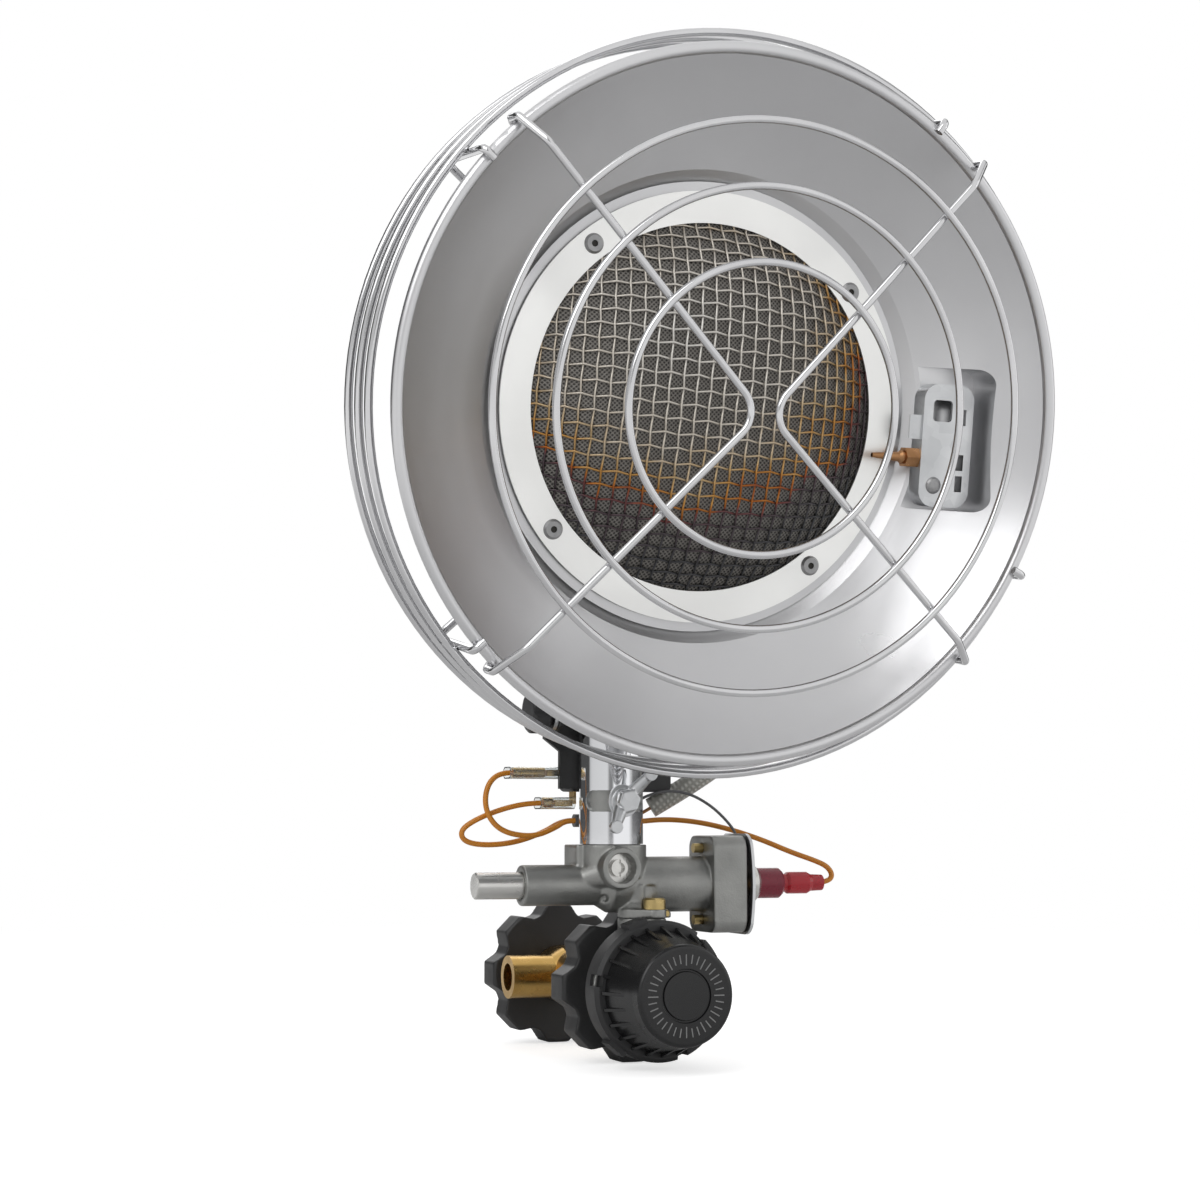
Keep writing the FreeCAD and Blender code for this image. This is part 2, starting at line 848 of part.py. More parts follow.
# Push-on receptacles on the two blades, each with a crimp barrel that takes its lead
def spade_connectors():
    made = []
    blade_ends = (switch_left - 9, sleeve_starts[1] - 8)
    for start, length, height, blade in zip(sleeve_starts, sleeve_lengths, terminal_heights, blade_ends):
        end = start - length
        shell = box(blade - 0.4, start - 1, terminal_y - 3.75, terminal_y + 3.75, height - 1.2, height + 1.0)
        slot = box(blade - 0.05, start, terminal_y - 3.2, terminal_y + 3.2, height - 0.45, height + 0.45)
        barrel = tube("x", 1.9, lead_radius + running_gap, end + 2, blade - 0.4, terminal_y, height)
        made.append(fuse(shell.cut(slot), barrel))
    return Part.makeCompound(made)


def connector_sleeves():
    made = []
    for start, length, height in zip(sleeve_starts, sleeve_lengths, terminal_heights):
        end = start - length
        outer = prism("x", rounded_box_outline(terminal_y - 4.9, terminal_y + 4.9, height - 2.5,
                                               height + 2.3, 2.2), end, start)
        inner = prism("x", rounded_box_outline(terminal_y - 4.1, terminal_y + 4.1, height - 2.0,
                                               height + 1.9, 1.8), end - 1, start + 1)
        made.append(outer.cut(inner))
    return Part.makeCompound(made)


def valve_barrels():
    left = rod("x", left_barrel_radius, left_barrel_end, 0)
    right = turned("x", [
        (0, right_barrel_start - 3),
        (left_barrel_radius, right_barrel_start - 3),
        (right_barrel_radius, right_barrel_start + 2),
        (right_barrel_radius, flange_start + 1),
        (0, flange_start + 1),
    ])
    return fuse(left, right)


def flange_outline(grow=0.0):
    return rounded_box_outline(-flange_half_width - grow, flange_half_width + grow,
                               -flange_half_height - grow, flange_half_height + grow,
                               flange_corner)


def flange_holes():
    holes = []
    for height in (-flange_screw_height, flange_screw_height):
        holes.append(rod("x", flange_screw_radius + running_gap, flange_start - 1, flange_end + 5,
                         0, height))
    return Part.makeCompound(holes)


# The bolted joint under the valve: a round shoulder with an ear in front
def column_plate(low, high):
    ear = rod("z", bolt_ear, low, high, bolt_x, bolt_y)
    disc = rod("z", column_radius, low, high, column_x, column_y)
    web = prism("z", [
        (column_x - column_radius * 0.75, column_y - column_radius * 0.66),
        (bolt_x - bolt_ear * 0.8, bolt_y - bolt_ear * 0.6),
        (bolt_x + bolt_ear * 0.93, bolt_y - bolt_ear * 0.37),
        (column_x + column_radius, column_y),
    ], low, high)
    return fuse(disc, ear, web)


def tab_lug():
    top = column_joint + column_plate_sheet
    low = column_joint + hug_gap
    return prism("y", [
        (tab_x - 4.5, top),
        (tab_x + 0.6, top),
        (tab_x + 2.3, top - 1.4),
        (tab_x + 2.3, low),
        (tab_x - 4.5, low),
    ], tab_front, tab_front + 4.0)


def valve_body():
    barrels = valve_barrels()
    flange = prism("x", flange_outline(), flange_start, flange_end)
    seat = rod("z", seat_block_radius, 3.0, seat_block_top)
    step = prism("z", rounded_box_outline(-16.0, -4.0, -4.0, 12.0, 2.0), 3.0, seat_block_top)
    boss = rod("y", boss_radius, boss_front, 0, boss_x, boss_z)
    gusset = Part.makeCone(3.0, boss_radius - 1.5, 16, vec(-17, -2, 1.5), vec(15.5, -7, 4.5))
    column = rod("z", 6.0, column_joint + 1, 0, column_x, column_y)
    shoulder = Part.makeCone(column_radius - 0.6, 6.0, 3.0,
                             vec(column_x, column_y, column_joint + column_plate_sheet), UP)
    plate = column_plate(column_joint, column_joint + column_plate_sheet)
    body = fuse(barrels, flange, seat, step, boss, gusset, column, shoulder, plate, tab_lug())
    cuts = [
        rod("x", chamber_radius, chamber_start, flange_end + 1),
        rod("x", plunger_radius + 0.6, button_bore_end - 1, chamber_start + 1),
        rod("x", button_bore, left_barrel_end + button_lip, button_bore_end),
        rod("x", button_radius + running_gap, left_barrel_end - 1, left_barrel_end + button_lip + 1),
        rod("z", gas_bore, 0, 9),
        rod("z", 5.0 + running_gap, 8.0 - face_gap, seat_block_top + 1),
        rod("z", gas_bore, column_joint - 1, -3, column_x, column_y),
        rod("y", boss_bore, boss_front - 1, boss_front + boss_bore_depth, boss_x, boss_z),
        tube("z", bolt_head_radius + face_gap, bolt_shank + running_gap,
             column_joint + column_plate_sheet, 0, bolt_x, bolt_y),
        rod("z", bolt_shank + running_gap, column_joint - 1, -5, bolt_x, bolt_y),
        rod("y", tab_shank + running_gap, tab_front - 1, tab_front + 3, tab_x, tab_z),
        flange_holes(),
    ]
    drain = rod("y", 1.6, -12, -5, -5.5, -5.2)
    return body.cut(Part.makeCompound(cuts)).cut(drain)


def boss_plug():
    back = boss_front + boss_bore_depth
    body = turned("y", [
        (0, back - 3.2),
        (2.2, back - 3.2),
        (2.2, back - 5.0),
        (3.4, back - 5.0),
        (3.4, back - 2.6),
        (boss_bore - running_gap, back - 2.6),
        (boss_bore - running_gap, back),
        (0, back),
    ], boss_x, boss_z)
    slot = box(boss_x - 0.5, boss_x + 0.5, back - 6, back - 4.2, boss_z - 5, boss_z + 5)
    return body.cut(slot)


def flange_gasket():
    sheet_body = prism("x", flange_outline(-1.0), flange_end, flange_end + gasket_thickness)
    hole = rod("x", chamber_radius, flange_end - 1, flange_end + 2)
    return sheet_body.cut(hole).cut(flange_holes())


# Thin end plate, bowed outwards by the magnet unit behind it
def cover_plate():
    start = flange_end + gasket_thickness
    side = flange_half_height + 0.8
    strip = prism("y", [
        (start, -side),
        (start + cover_bulge, 0, "by"),
        (start, side),
        (start + cover_sheet, side),
        (start + cover_sheet + cover_bulge, 0, "by"),
        (start + cover_sheet, -side),
    ], -flange_half_width - 0.8, flange_half_width + 0.8)
    corners = prism("x", flange_outline(0.8), start - 1, start + 6)
    holes = [flange_holes(), rod("x", magnet_stem + running_gap, start - 1, start + 6)]
    return strip.common(corners).cut(Part.makeCompound(holes))


def cover_height(z):
    side = flange_half_height + 0.8
    return flange_end + gasket_thickness + cover_sheet + cover_bulge * (1 - (z / side)**2)


def flange_screws():
    made = []
    seat = cover_height(flange_screw_height - 3.8) + running_gap
    for height in (-flange_screw_height, flange_screw_height):
        shank = rod("x", flange_screw_radius, flange_start - 3.6, seat, 0, height)
        head = turned("x", [(0, seat), (3.8, seat), (3.8, seat + 0.8), (3.0, seat + 2.1, "by"),
                            (1.2, seat + 2.6), (0, seat + 2.6)], 0, height)
        made.append(fuse(shank, head))
    return Part.makeCompound(made)


def magnet_unit():
    stem_end = flange_end + gasket_thickness + cover_sheet + cover_bulge + magnet_nut_width + 4
    return turned("x", [
        (0, chamber_start + 12),
        (3.0, chamber_start + 12),
        (chamber_radius - 1.0, chamber_start + 16),
        (chamber_radius - 1.0, flange_end - 3),
        (chamber_radius - running_gap, flange_end - 3),
        (chamber_radius - running_gap, flange_end),
        (magnet_stem, flange_end),
        (magnet_stem, stem_end),
        (0, stem_end),
    ])


def nut_start():
    return flange_end + gasket_thickness + cover_sheet + cover_bulge


def magnet_nut():
    start = nut_start() + hug_gap
    end = start + magnet_nut_width
    return turned("x", [
        (magnet_stem + running_gap, start),
        (magnet_nut_radius, start),
        (magnet_nut_radius, end - 1.5),
        (magnet_nut_radius - 1.5, end),
        (magnet_stem + running_gap, end),
    ])


def lead_boot():
    start = nut_start() + hug_gap + magnet_nut_width
    end = start + boot_width
    stem_end = nut_start() + magnet_nut_width + 4
    return turned("x", [
        (magnet_stem + running_gap, start),
        (boot_radius, start),
        (boot_radius, end - 1.2),
        (boot_radius - 1.0, end),
        (0, end),
        (0, stem_end + hug_gap),
        (magnet_stem + running_gap, stem_end + hug_gap),
    ])


# Crimped bullet connector on the magnet lead, open at its far end
def lead_connector():
    start = nut_start() + hug_gap + magnet_nut_width + boot_width
    return turned("x", [
        (0, start),
        (3.7, start),
        (3.5, start + 2.0),
        (4.4, start + 3.2),
        (4.4, connector_end - 2.5),
        (3.4, connector_end - 0.6),
        (3.2, connector_end + 4.5),
        (2.5, connector_end + 4.5),
        (2.4, connector_end),
        (0, connector_end),
    ])


def push_button():
    neck_end = left_barrel_end + button_lip + hug_gap
    collar_end = neck_end + 2.4
    return turned("x", [
        (0, button_end),
        (button_radius - 0.5, button_end),
        (button_radius, button_end + 0.5),
        (button_radius, neck_end),
        (button_bore - hug_gap, neck_end),
        (button_bore - hug_gap, collar_end),
        (plunger_radius + running_gap, collar_end),
        (plunger_radius + running_gap, button_end + 10),
        (0, button_end + 10),
    ])


def plunger_rod():
    end = chamber_start + 12 - button_travel - face_gap
    return rod("x", plunger_radius, button_end + 10 + running_gap, end)


def button_spring():
    start = left_barrel_end + button_lip + hug_gap + 2.4 + running_gap
    return tube("x", button_bore - 0.5, button_bore - 1.6, start, button_bore_end - running_gap)


def column_bolt():
    seat = column_joint + column_plate_sheet
    head = turned("z", [
        (0, seat),
        (bolt_head_radius, seat),
        (bolt_head_radius, seat + bolt_head_height - 0.7),
        (bolt_head_radius - 0.7, seat + bolt_head_height),
        (0, seat + bolt_head_height),
    ], bolt_x, bolt_y)
    return fuse(head, rod("z", bolt_shank, column_joint - 3.6, seat, bolt_x, bolt_y))


def tab_screw():
    head = turned("y", [(0, tab_front - 1.0), (1.0, tab_front - 1.0), (1.6, tab_front), (0, tab_front)],
                  tab_x, tab_z)
    return fuse(head, rod("y", tab_shank, tab_front, tab_front + 2.5, tab_x, tab_z))


def regulator_body():
    disc = turned("y", [
        (0, regulator_face),
        (regulator_radius, regulator_face),
        (regulator_radius, regulator_face + 5),
        (regulator_radius - 2, regulator_face + 6.5),
        (15.0, regulator_back),
        (12.0, regulator_back + 2),
        (12.0, regulator_boss),
        (0, regulator_boss),
    ], line_x, line_z)
    column = rod("z", column_radius, line_z, column_joint, column_x, column_y)
    plate = column_plate(column_joint - 4, column_joint)
    chamber = turned("y", [
        (0, regulator_face - 1),
        (chamber_land, regulator_face - 1),
        (chamber_land, regulator_face + 3),
        (12.0, regulator_face + 8),
        (0, regulator_face + 8),
    ], line_x, line_z)
    inlet = rod("y", 4.0 + running_gap, regulator_face + 3, regulator_boss + 1, line_x, line_z)
    riser = rod("z", gas_bore, line_z + 10, column_joint + 1, column_x, column_y)
    bolt_hole = rod("z", bolt_shank + running_gap, column_joint - 5, column_joint + 1, bolt_x, bolt_y)
    body = fuse(disc, column, plate)
    return body.cut(Part.makeCompound([chamber, inlet, riser, bolt_hole]))


def diaphragm():
    front = regulator_face - mesh_sheet
    fold = chamber_land - 0.6
    return turned("y", [
        (0, front),
        (fold - 5.0, front),
        (fold - 2.5, front + 1.8, "by"),
        (fold, front),
        (diaphragm_radius, front),
        (diaphragm_radius, regulator_face),
        (fold + 0.4, regulator_face),
        (fold - 2.5, front + 2.4, "by"),
        (fold - 5.4, regulator_face),
        (0, regulator_face),
    ], line_x, line_z)


def regulator_spring():
    return tube("y", 8.0, 6.8, cap_front + 16, regulator_face - mesh_sheet - running_gap, line_x, line_z)


# Snap-on ring over the diaphragm, with catches round it and a window for the bolted ear
def regulator_cover():
    inner = regulator_radius + running_gap
    back = regulator_face + 6
    ring = turned("y", [
        (cap_base_radius - 3, cover_face),
        (cover_radius - 1.5, cover_face),
        (cover_radius, cover_face + 1.5),
        (cover_radius, back),
        (inner, back),
        (inner, regulator_face - mesh_sheet - running_gap),
        (diaphragm_radius - 4.2, regulator_face - mesh_sheet - running_gap),
        (diaphragm_radius - 4.2, cover_face + cover_sheet_front),
        (cap_base_radius - 3, cover_face + cover_sheet_front),
    ], line_x, line_z)
    centre = vec(line_x, 0, line_z)
    notch = box(line_x - 2.2, line_x + 2.2, cover_face - 1, cover_face + 7,
                line_z + cover_radius - 2.6, line_z + cover_radius + 1)
    notches = copies_about(notch, centre, AXIS["y"], cover_notches, 40)
    catch = box(line_x - 4.0, line_x + 4.0, cover_face + 1, regulator_face + 4,
                line_z + cover_radius - 1, line_z + cover_radius + 1.4)
    catches = copies_about(catch, centre, AXIS["y"], cover_notches, 100)
    window = box(column_x - column_radius * 0.55, bolt_x + bolt_ear + face_gap,
                 bolt_y - bolt_ear - face_gap, back + 1, column_joint - 4 - face_gap, column_joint + 1)
    return fuse(ring, *catches).cut(Part.makeCompound(notches)).cut(window)


# Conical weather cap over the regulator's vent, with ribs down its side
def vent_cap():
    start = cover_face - running_gap
    shell = turned("y", [
        (0, cap_front),
        (9.0, cap_front),
        (9.3, cap_front + 0.8),
        (9.9, cap_front + 0.8),
        (10.2, cap_front),
        (cap_front_radius - 1.8, cap_front),
        (cap_front_radius - 0.5, cap_front + 0.5, "by"),
        (cap_front_radius, cap_front + 1.8),
        (cap_front_radius + 0.4, cap_front + 5),
        (cap_base_radius, start),
        (cap_base_radius - cap_wall, start),
        (cap_front_radius - cap_wall, cap_front + 5),
        (cap_front_radius - cap_wall, cap_front + cap_wall),
        (0, cap_front + cap_wall),
    ], line_x, line_z)
    rib = prism("x", [
        (start, line_z + cap_base_radius - 1),
        (start, line_z + cap_base_radius + 1.6),
        (cap_front + 9, line_z + cap_front_radius + 0.9),
        (cap_front + 9, line_z + cap_front_radius - 0.5),
    ], line_x - 0.6, line_x + 0.6)
    ribs = copies_about(rib, vec(line_x, 0, line_z), AXIS["y"], cap_flutes)
    return fuse(shell, *ribs)


# Nut shoulders are held between two faces with a running gap at each
def regulator_nipple():
    shoulder = regulator_nut_face + nut_wall + face_gap
    return turned("y", [
        (2.5, regulator_back),
        (4.0, regulator_back),
        (4.0, regulator_boss),
        (nipple_radius, regulator_boss),
        (nipple_radius, shoulder),
        (tee_neck, shoulder),
        (tee_neck, shoulder + 2.5),
        (nipple_radius, shoulder + 2.5),
        (nipple_radius, tee_front + 16),
        (2.5, tee_front + 16),
    ], line_x, line_z)


def lobed_outline(u, v):
    points = []
    step = 360.0 / nut_lobes
    for index in range(nut_lobes):
        middle = step * index
        for radius, offset in ((nut_valley, -0.42), (nut_radius, -0.2), (nut_radius, 0.2), (nut_valley, 0.42)):
            angle = math.radians(middle + offset * step)
            points.append((u + radius * math.cos(angle), v + radius * math.sin(angle)))
    return points


# Large hand nut: a lobed grip, a narrower skirt and a threaded bore behind its end wall
def coupling_nut(face, hole):
    grip_end = face + nut_thickness
    grip = prism("y", lobed_outline(line_x, line_z), face, grip_end)
    bevel = turned("y", [(0, face - 1), (nut_radius - 1.2, face - 1), (nut_radius - 1.2, face),
                         (nut_radius + 1, face + 2.4), (nut_radius + 1, grip_end + 1), (0, grip_end + 1)],
                   line_x, line_z)
    skirt = rod("y", nut_skirt_radius, face, grip_end + nut_skirt_length, line_x, line_z)
    bore = rod("y", thread_radius + hug_gap, face + nut_wall, grip_end + nut_skirt_length + 1,
               line_x, line_z)
    eye = rod("y", hole + running_gap, face - 1, face + nut_wall + 1, line_x, line_z)
    return fuse(grip.common(bevel), skirt).cut(Part.makeCompound([bore, eye]))


def tee_body():
    shaft = turned("y", [
        (0, tee_front),
        (thread_radius - 1, tee_front),
        (thread_radius, tee_front + 1),
        (thread_radius, tee_thread_end),
        (tee_radius, tee_thread_end + 3),
        (tee_radius, tank_nut_face - face_gap),
        (tee_neck, tank_nut_face - face_gap),
        (tee_neck, tank_nut_face + nut_wall + face_gap),
        (0, tank_nut_face + nut_wall + face_gap),
    ], line_x, line_z)
    wrench = prism("y", polygon(6, tee_hex_width / math.sqrt(3), line_x, line_z),
                   tee_hex_start, tee_hex_start + 10)
    port = rod("x", port_radius, port_end, line_x, port_y, line_z)
    root = Part.makeCone(port_radius, port_radius + 3, 5, vec(line_x - tee_radius + 1, port_y, line_z), AXIS["x"])
    body = fuse(shaft, wrench, port, root)
    cuts = [
        rod("y", nipple_radius + running_gap, tee_front - 1, tee_front + 17, line_x, line_z),
        rod("y", 3.5, tee_front + 16, tank_nut_face, line_x, line_z),
        rod("y", 5.0 + running_gap, tank_nut_face - 9, tank_nut_face + nut_wall + 2, line_x, line_z),
        rod("x", port_bore, port_end - 1, port_end + port_depth, port_y, line_z),
        rod("x", 3.5, port_end, line_x, port_y, line_z),
    ]
    return body.cut(Part.makeCompound(cuts))


def inlet_nipple():
    shoulder = tank_nut_face + nut_wall + face_gap
    return turned("y", [
        (2.5, tank_nut_face - 8),
        (5.0, tank_nut_face - 8),
        (5.0, shoulder),
        (nipple_shoulder, shoulder),
        (nipple_shoulder, shoulder + 2.7),
        (nipple_radius, shoulder + 2.7),
        (nipple_radius, nipple_tip),
        (4.0, nipple_tip),
        (4.0, nipple_tip - 6),
        (2.5, nipple_tip - 6),
    ], line_x, line_z)


# Soft nose pressed into the nipple's mouth
def nipple_seal():
    return turned("y", [
        (1.8, nipple_tip - 6 + running_gap),
        (4.0 - running_gap, nipple_tip - 6 + running_gap),
        (4.0 - running_gap, nipple_tip),
        (5.2, nipple_tip + 0.2),
        (4.6, nipple_tip + seal_length - 0.8, "by"),
        (3.4, nipple_tip + seal_length),
        (1.8, nipple_tip + seal_length),
    ], line_x, line_z)


def lead_splice():
    return rod("x", splice_radius, splice_left, splice_right, splice_y, splice_z)


def switch_lead_upper():
    start = sleeve_starts[0] - sleeve_lengths[0] + 3
    return lead("switch_lead_upper", [
        vec(start, terminal_y, terminal_heights[0]),
        vec(-39.5, terminal_y, terminal_heights[0]),
        vec(-44.5, 19.4, 41.0),
        vec(-46.8, 18.4, 35.0),
        vec(-46.3, 17.6, 28.5),
        vec(-42.5, 17.0, 22.8),
        vec(-36.0, 16.8, 19.8),
        vec(-26.0, 16.8, 19.0),
        vec(-17.0, 17.2, 22.6),
        vec(splice_left - 4.0, 17.3, splice_z),
        vec(splice_left - running_gap, 17.3, splice_z),
    ], lead_radius)


def switch_lead_lower():
    start = sleeve_starts[1] - sleeve_lengths[1] + 3
    return lead("switch_lead_lower", [
        vec(start, terminal_y, terminal_heights[1]),
        vec(-27.5, terminal_y, terminal_heights[1]),
        vec(-38.0, 21.2, 30.2),
        vec(-49.0, 22.4, 26.0),
        vec(-55.5, 23.2, 21.5),
        vec(-54.0, 23.6, 17.0),
        vec(-45.5, 23.6, 15.4),
        vec(-33.0, 22.8, 16.4),
        vec(-21.0, 21.0, 20.6),
        vec(splice_left - 4.5, 19.9, splice_z),
        vec(splice_left - running_gap, 19.9, splice_z),
    ], lead_radius)


def magnet_lead():
    return lead("magnet_lead", [
        vec(splice_right + hug_gap, 17.6, 24.6),
        vec(16.0, 17.6, 24.6),
        vec(30.0, 17.0, 26.0),
        vec(44.6, 15.4, 24.8),
        vec(58.0, 12.4, 21.6),
        vec(70.0, 8.4, 17.4),
        vec(81.0, 4.6, 12.4),
        vec(90.5, 1.6, 9.0),
        vec(96.0, 0.4, 6.4),
        vec(98.0, 0.0, 2.4),
        vec(94.6, 0.0, 0.0),
        vec(connector_end + hug_gap, 0.0, 0.0),
    ], lead_radius)


def ground_wire():
    plate_x = cover_height(15.5) + ground_radius + 0.5
    path = [
        vec(splice_right + hug_gap, 18.5, splice_z + 1.6),
        vec(12.5, 18.5, splice_z + 1.6),
        vec(15.2, 17.0, 30.4),
        vec(18.6, 14.0, 34.6),
        vec(27.6, 11.0, 37.6),
        vec(37.2, 9.0, 36.6),
        vec(46.0, 7.2, 31.8),
        vec(52.6, 5.6, 25.6),
        vec(plate_x, 5.0, 19.5),
        vec(plate_x, 5.2, 15.5),
    ]
    wire = lead("ground_wire", path, ground_radius)
    middle = (path[5] + path[6]) * 0.5
    along = (path[6] - path[5]).normalize()
    crimp = Part.makeCylinder(1.2, 5.0, middle - along * 2.5, along)
    return fuse(wire, crimp)


sleeve_start = vec(25.5, 21.0, 30.5)
sleeve_next = vec(39.5, 16.5, 39.0)


# The braided sleeve ends behind the thermocouple bracket, on the tilted head
def thermocouple_points():
    tilt = math.radians(rest_tilt)
    y = thermocouple_depth - rim_reach
    z = head_rise + thermocouple_height
    x = bracket_outer - 8.5

    def tilted(depth):
        local_y = y + depth
        return vec(x, local_y * math.cos(tilt) - z * math.sin(tilt),
                   pivot_height + local_y * math.sin(tilt) + z * math.cos(tilt))

    return tilted(5.6), tilted(22.0)


def thermocouple_sleeve():
    end, approach = thermocouple_points()
    return lead("thermocouple_sleeve", [
        sleeve_start,
        sleeve_next,
        vec(55.0, 5.5, 52.0),
        vec(70.5, -11.0, 74.0),
        vec(85.0, -29.0, 103.0),
        vec(95.0, -46.5, 133.0),
        approach,
        end,
    ], sleeve_radius)


def thermocouple_lead():
    along = (sleeve_next - sleeve_start).normalize()
    return lead("thermocouple_lead", [
        vec(splice_right + hug_gap, 19.9, splice_z + 0.3),
        vec(13.5, 20.1, splice_z + 0.4),
        sleeve_start - along * 6.0,
        sleeve_start - along * running_gap,
    ], 0.7)


def to_head(shape):
    moved = shape.copy()
    moved.rotate(vec(0, 0, 0), AXIS["x"], rest_tilt)
    moved.translate(vec(0, 0, pivot_height))
    return moved


def head_pieces():
    pieces = {
        "reflector": reflector_solid(),
        "face_ring": face_ring(),
        "outer_mesh": mesh_dome(face_depth + face_ring_sheet, outer_mesh_rise, outer_mesh_crown),
        "inner_mesh": mesh_dome(face_depth + face_ring_sheet + mesh_sheet, inner_mesh_rise, inner_mesh_crown),
        "burner_bowl": burner_bowl(),
        "head_rivets": Part.makeCompound([face_rivets(), bracket_rivet()]),
        "venturi_elbow": venturi_elbow(),
        "tilt_yoke": tilt_yoke(),
        "guard_wire_left": guard_v_wire(guard_left_angles, guard_shift),
        "guard_wire_right": guard_v_wire(guard_right_angles, guard_shift + guard_apex_gap),
        "rear_guard_wires": rear_wires(),
        "thermocouple_bracket": thermocouple_bracket(),
        "thermocouple": Part.makeCompound([thermocouple(), thermocouple_nut()]),
        "rear_guard_rings": Part.makeCompound([rear_ring(depth) for depth in rear_ring_depths]),
    }
    for name, radius in zip(("inner", "middle", "outer"), guard_ring_radii):
        pieces["guard_ring_" + name] = guard_ring(radius)
    return {name: to_head(shape) for name, shape in pieces.items()}


def neck_pieces():
    return {
        "neck_tube": neck_tube(),
        "tilt_bracket": tilt_bracket(),
        "pivot_rivet": pivot_rivet(),
        "tilt_knob": tilt_knob(),
        "switch_box": switch_box(),
        "switch_lid": switch_lid(),
        "tip_ball": tip_ball(),
        "switch_terminals": switch_terminals(),
        "spade_connectors": spade_connectors(),
        "connector_sleeves": connector_sleeves(),
        "switch_leads": Part.makeCompound([switch_lead_upper(), switch_lead_lower()]),
        "lead_splice": lead_splice(),
        "thermocouple_lead": thermocouple_lead(),
        "thermocouple_sleeve": thermocouple_sleeve(),
    }


def valve_pieces():
    return {
        "valve_body": valve_body(),
        "boss_plug": boss_plug(),
        "swivel_post": swivel_post(),
        "gas_orifice": gas_orifice(),
        "flange_gasket": flange_gasket(),
        "cover_plate": cover_plate(),
        "flange_screws": flange_screws(),
        "magnet_unit": magnet_unit(),
        "magnet_nut": magnet_nut(),
        "lead_boot": lead_boot(),
        "lead_connector": lead_connector(),
        "magnet_lead": magnet_lead(),
        "ground_wire": ground_wire(),
        "push_button": push_button(),
        "plunger_rod": plunger_rod(),
        "button_spring": button_spring(),
        "column_screws": Part.makeCompound([column_bolt(), tab_screw()]),
        "wing_screw": wing_screw(),
    }


def gas_line_pieces():
    return {
        "regulator_body": regulator_body(),
        "diaphragm": diaphragm(),
        "regulator_spring": regulator_spring(),
        "regulator_cover": regulator_cover(),
        "vent_cap": vent_cap(),
        "regulator_nipple": regulator_nipple(),
        "regulator_nut": coupling_nut(regulator_nut_face, nipple_radius),
        "tee_body": tee_body(),
        "inlet_nipple": inlet_nipple(),
        "nipple_seal": nipple_seal(),
        "tank_nut": coupling_nut(tank_nut_face, tee_neck),
    }


inlet_tip = vec(line_x, nipple_tip, line_z)
for group in (head_pieces, neck_pieces, valve_pieces, gas_line_pieces):
    for name, shape in group().items():
        shape.translate(inlet_tip * -1)
        shape.exportStep("parts/" + name + ".step")
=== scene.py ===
import json
import math

import bmesh
import bpy
from mathutils import Matrix, Vector

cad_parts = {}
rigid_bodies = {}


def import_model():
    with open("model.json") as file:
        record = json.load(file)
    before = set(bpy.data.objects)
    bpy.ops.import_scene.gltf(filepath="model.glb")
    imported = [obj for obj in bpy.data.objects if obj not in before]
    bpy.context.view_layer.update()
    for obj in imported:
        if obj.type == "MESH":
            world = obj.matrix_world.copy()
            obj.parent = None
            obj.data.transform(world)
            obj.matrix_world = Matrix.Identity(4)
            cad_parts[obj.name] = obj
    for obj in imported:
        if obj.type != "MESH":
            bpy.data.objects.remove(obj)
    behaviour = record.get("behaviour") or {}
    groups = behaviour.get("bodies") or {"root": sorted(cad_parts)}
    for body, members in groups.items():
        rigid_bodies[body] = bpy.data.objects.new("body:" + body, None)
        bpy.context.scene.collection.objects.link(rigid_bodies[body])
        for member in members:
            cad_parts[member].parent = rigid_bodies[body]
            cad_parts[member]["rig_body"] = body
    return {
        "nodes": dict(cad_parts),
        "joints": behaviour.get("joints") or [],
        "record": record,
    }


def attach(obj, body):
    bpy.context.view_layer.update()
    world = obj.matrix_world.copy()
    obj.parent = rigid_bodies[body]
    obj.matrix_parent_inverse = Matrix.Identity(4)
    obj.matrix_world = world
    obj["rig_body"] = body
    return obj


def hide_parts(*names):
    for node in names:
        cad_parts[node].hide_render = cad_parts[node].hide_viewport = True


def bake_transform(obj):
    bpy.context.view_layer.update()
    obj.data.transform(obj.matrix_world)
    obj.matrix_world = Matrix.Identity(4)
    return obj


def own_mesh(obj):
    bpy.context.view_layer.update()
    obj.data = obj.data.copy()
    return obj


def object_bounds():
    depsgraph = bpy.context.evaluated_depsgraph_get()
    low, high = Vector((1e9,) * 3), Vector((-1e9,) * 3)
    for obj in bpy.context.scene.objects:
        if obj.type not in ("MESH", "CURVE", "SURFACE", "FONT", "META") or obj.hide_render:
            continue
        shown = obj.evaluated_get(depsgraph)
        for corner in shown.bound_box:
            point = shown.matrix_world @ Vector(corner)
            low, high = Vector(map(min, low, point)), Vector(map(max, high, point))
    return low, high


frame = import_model()
cadLow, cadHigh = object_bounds()
nodes = frame["nodes"]
joints = {joint["name"]: joint for joint in frame["joints"]}
slotOf = {part["node"]: part["material_slot"] for part in frame["record"]["subparts"]}
bodyOf = {name: node["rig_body"] for name, node in nodes.items()}
mm = 0.001
weld = 1e-6                                           # corners closer than this, in metres, are one

neckFoot = Vector(joints["head_swivel"]["pos_m"])     # neck axis at the height of the gas valve's axis
tiltPivot = Vector(joints["head_tilt"]["pos_m"])
headTilt = math.radians(10)                           # the head looks down a little at rest
dish = {"reach": 110 * mm, "rise": 122 * mm}          # rim plane in front of the pivot, dish axis over it
headPlace = Matrix.Translation(tiltPivot) @ Matrix.Rotation(headTilt, 4, "X")
dishPlace = headPlace @ Matrix.Translation((0, -dish["reach"], dish["rise"]))


def neckPoint(x, y, z):
    return neckFoot + Vector((x, y, z)) * mm


def headPoint(x, y, z):
    return headPlace @ (Vector((x, y, z)) * mm)


def dishPoint(x, height, depth):
    return dishPlace @ (Vector((x, depth, height)) * mm)


# Finishes

